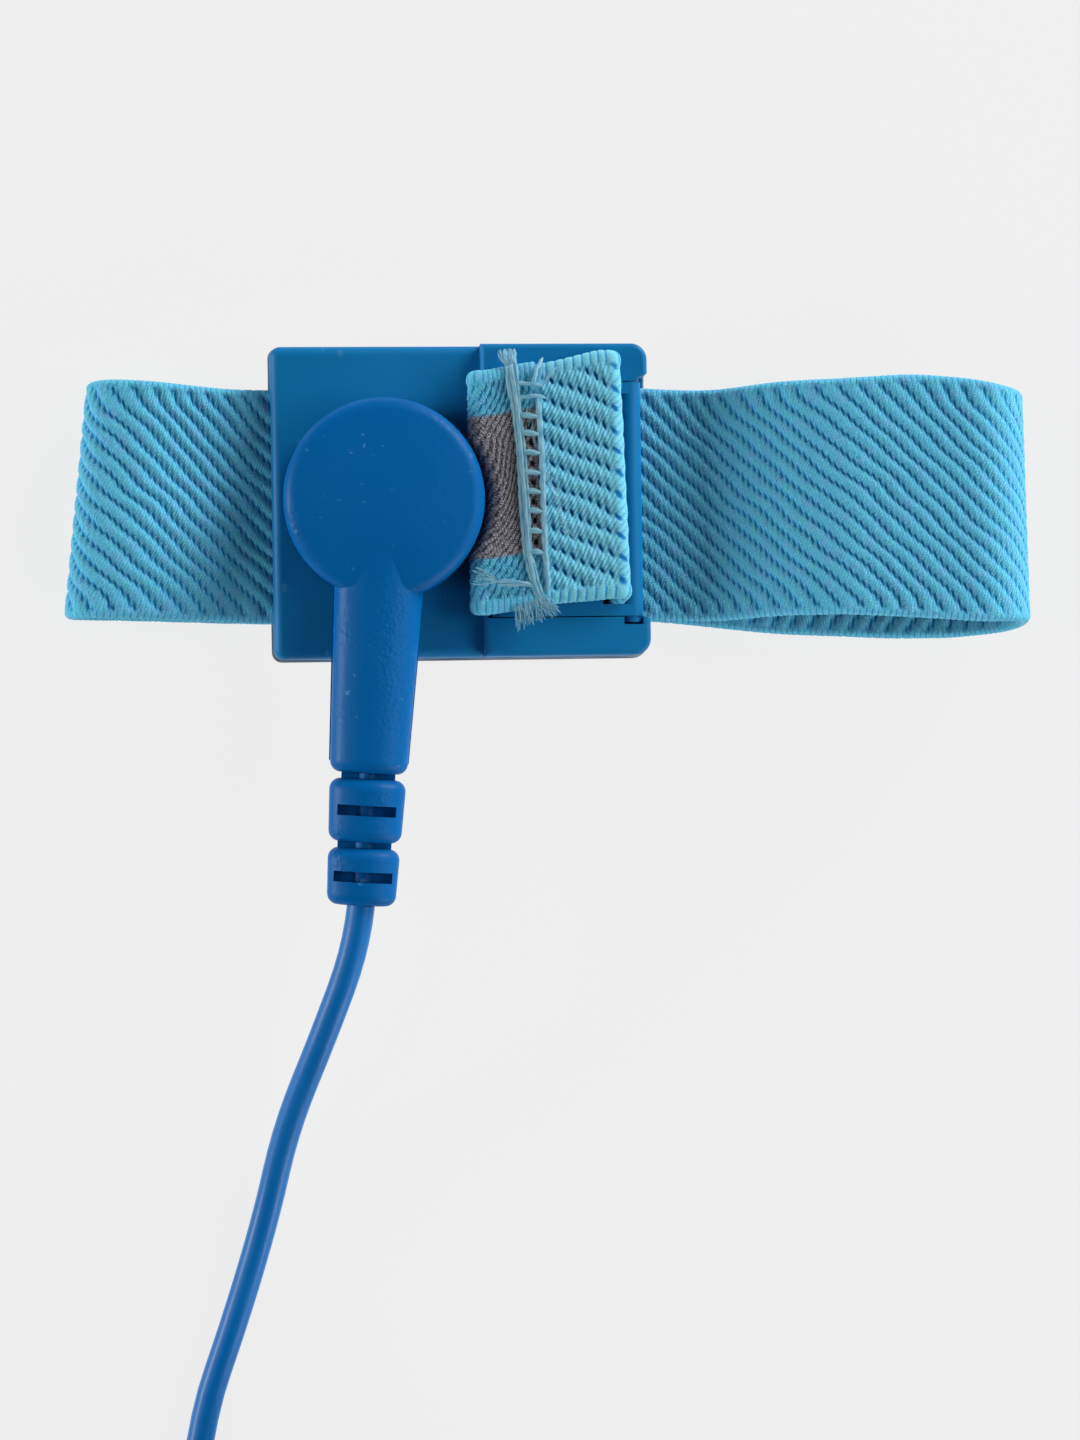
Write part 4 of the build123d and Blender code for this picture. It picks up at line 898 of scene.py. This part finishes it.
stitching = {  # mm
    "sides": 8,
    "step": 0.12,
    "tipShare": 0.35,  # how thick a thread is at its very end
    "tipLength": 4.0,  # radii from there to its whole thickness, for a share of 1
    "strand": {"radius": 0.2, "lobe": 0.16, "twist": 5.0},  # twist in radians per mm
    "ladderSide": {"radius": 0.26, "lobe": 0.2, "twist": 4.2},
    "rung": {"radius": 0.26, "lobe": 0.15, "twist": 4.0},
    "loose": {"radius": 0.17, "lobe": 0.16, "twist": 5.0},
    "fray": {"radius": 0.032, "lobe": 0.0, "twist": 0.0},
    "strandOffsets": [(-0.22, 0.0), (0.05, 0.12), (0.27, 0.0)],  # across and up, for the three left strands
    "strandWobble": 0.06,
    "strandFans": (0.5, 6.0, 12.0),  # the share by which the strands part, and over which y
    "strandLeft": [(11.0, 12.9, 8.0), (10.97, 11.8, 9.3), (10.95, 10.95, 10.1), (11.07, 9.52, 10.2),
                   (11.4, 7.38, 10.1), (11.7, 3.82, 10.1), (11.92, -0.45, 10.1), (12.14, -4.73, 10.1),
                   (12.74, -7.58, 10.1), (13.29, -9.01, 9.6)],
    "strandRight": [(13.18, 8.5, 10.0), (13.28, 7.68, 10.05), (13.5, 3.83, 10.05), (13.58, -0.45, 10.05),
                    (13.66, -4.73, 10.05), (13.89, -8.44, 9.9)],
    "rungs": [6.9, 5.4, 3.75, 2.05, 0.42, -1.22, -2.95, -4.75],  # y of the threads between the needle holes
    "rungBow": [(0, 0.0, 0.1, 10.1), (0, 0.35, 0.05, 10.22),  # left (0) or right (1) strand, x, y, height
                (1, -0.4, -0.05, 10.22), (1, 0.0, -0.12, 10.05)],
    "loops": [[(11.2, 9.7, 10.15), (12.4, 9.62, 10.35), (13.3, 9.6, 10.2), (13.9, 9.5, 9.4)],
              [(11.0, 8.4, 10.15), (12.5, 8.55, 10.3), (13.4, 8.6, 10.1), (14.0, 8.5, 9.3)],
              [(12.7, 9.2, 10.2), (12.9, 9.9, 10.3), (13.15, 10.9, 10.1), (13.8, 12.0, 9.2)],
              [(9.31, -7.26, 10.2), (10.3, -7.2, 10.35), (11.3, -7.38, 10.35), (12.4, -7.44, 10.25)],
              [(9.5, -7.5, 10.15), (10.6, -7.6, 10.3), (11.8, -7.5, 10.3), (12.7, -7.7, 10.2)]],
    "frays": [  # from, to, how many, spread of the ends, spread of the roots
        ((9.4, -7.2, 10.2), (7.2, -6.7, 10.3), 18, 0.8, 0.3),
        ((12.4, -8.9, 10.1), (13.2, -10.9, 9.2), 80, 2.1, 1.7),
        ((10.9, 11.3, 10.1), (10.4, 12.8, 9.3), 22, 0.7, 0.45),
        ((13.5, 9.6, 10.0), (14.3, 11.6, 9.2), 10, 0.8, 0.4),
        ((13.3, 3.0, 10.1), (14.3, 3.3, 9.4), 40, 7.5, 7.5),
    ],
    "frayReach": (0.65, 0.35),  # the least length of a fray, as a share, and what its draw adds
    "frayRoot": (0.7, 0.3),  # how far a root goes to its tip's side, and how far by a draw of its own
    "fraySide": 0.25,
    "frayArch": (0.12, 0.1),  # height of the middle, and what its draw changes
    "seed": 11,
}


def thread(points, radius, lobe, twist):
    # A round thread on a smooth line through its points, with its ends drawn in and a twist of three lobes:
    # radius * taper * (1 + lobe * cos(3 * angle + twist * length)).
    points = np.array(points, float)
    span = np.concatenate([[0], np.cumsum(lengths(points))])
    at = np.linspace(0, span[-1], max(6, round(span[-1] / stitching["step"])))
    line = np.stack([np.interp(at, span, points[:, k]) for k in range(3)], axis=1)
    for k in range(3):
        padded = np.pad(line[:, k], 2, mode="reflect", reflect_type="odd")
        line[:, k] = np.convolve(padded, np.ones(5) / 5, mode="valid")
    way = np.gradient(line, axis=0)
    way /= np.linalg.norm(way, axis=1)[:, None]
    side = np.cross(way, (0.0, 0.0, 1.0))
    side /= np.maximum(np.linalg.norm(side, axis=1), 1e-6)[:, None]
    up = np.cross(way, side)
    toEnd = np.minimum(at, span[-1] - at)[:, None]
    taper = np.minimum(1, stitching["tipShare"] + toEnd / (stitching["tipLength"] * radius))
    angle = np.arange(stitching["sides"]) * 2 * np.pi / stitching["sides"]
    r = radius * taper * (1 + lobe * np.cos(3 * angle + twist * at[:, None]))
    ring = line[:, None] + (r * np.cos(angle))[..., None] * side[:, None]
    ring = ring + (r * np.sin(angle))[..., None] * up[:, None]
    return ring, np.stack([at[:, None] + 0 * r, radius * angle + 0 * r], axis=-1)


def threadPiece(name, threads):
    # each thread has its own place on the cloth, so that no two look the same
    grids, cloths, first = [], [], 0
    for ring, cloth in threads:
        grids.append(ring)
        cloths.append(cloth + (0, first))
        first += ring.shape[0] * ring.shape[1]
    piece = tubePiece(name, grids, cloths, "clearThread", "clasp")
    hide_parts("hem_thread")


def makeStitching():
    # the hem's stitches: three strands on the left, one on the right, rungs between them and loose loops
    left, right = np.array(stitching["strandLeft"]), np.array(stitching["strandRight"])
    threads = []
    share, low, high = stitching["strandFans"]
    for offset, lift in stitching["strandOffsets"]:
        wobble = stitching["strandWobble"] * np.sin(np.arange(len(left)) * 2.1 + 9 * offset)
        fan = offset * (1 + share * smooth(left[:, 1], low, high)) + wobble
        moved = left + np.stack([fan, 0 * fan, lift + 0 * fan], axis=1)
        threads.append(thread(moved, **stitching["strand"]))
    threads.append(thread(right, **stitching["ladderSide"]))
    for y in stitching["rungs"]:
        ends = [np.interp(y, strand[::-1, 1], strand[::-1, 0]) for strand in (left, right)]
        bow = [(ends[which] + dx, y + dy, height) for which, dx, dy, height in stitching["rungBow"]]
        threads.append(thread(bow, **stitching["rung"]))
    threads += [thread(path, **stitching["loose"]) for path in stitching["loops"]]
    threadPiece("hemStitches", threads)


def makeFrays():
    # Each fray goes from its root over a middle that is pushed to the side and up to its tip. Its five
    # draws set its tip's place to the side, its length, its root, its middle and its arch.
    random = np.random.default_rng(stitching["seed"])
    least, more = stitching["frayReach"]
    follows, strays = stitching["frayRoot"]
    height, change = stitching["frayArch"]
    threads = []
    for start, end, count, spread, rootSpread in stitching["frays"]:
        start, away = np.array(start), np.array(end) - np.array(start)
        flat = np.array([-away[1], away[0], 0.0]) / np.linalg.norm(away[:2])
        for aside, longer, atRoot, pushed, raised in random.uniform(-1, 1, (count, 5)):
            tip = start + away * (least + more * abs(longer)) + flat * spread * aside
            root = start + flat * rootSpread * (follows * aside + strays * atRoot)
            middle = (root + tip) / 2 + flat * stitching["fraySide"] * pushed
            middle = middle + (0, 0, height + change * raised)
            threads.append(thread((root, middle, tip), **stitching["fray"]))
    threadPiece("hemFrays", threads)


makeStitching()
makeFrays()
print("stitching made")
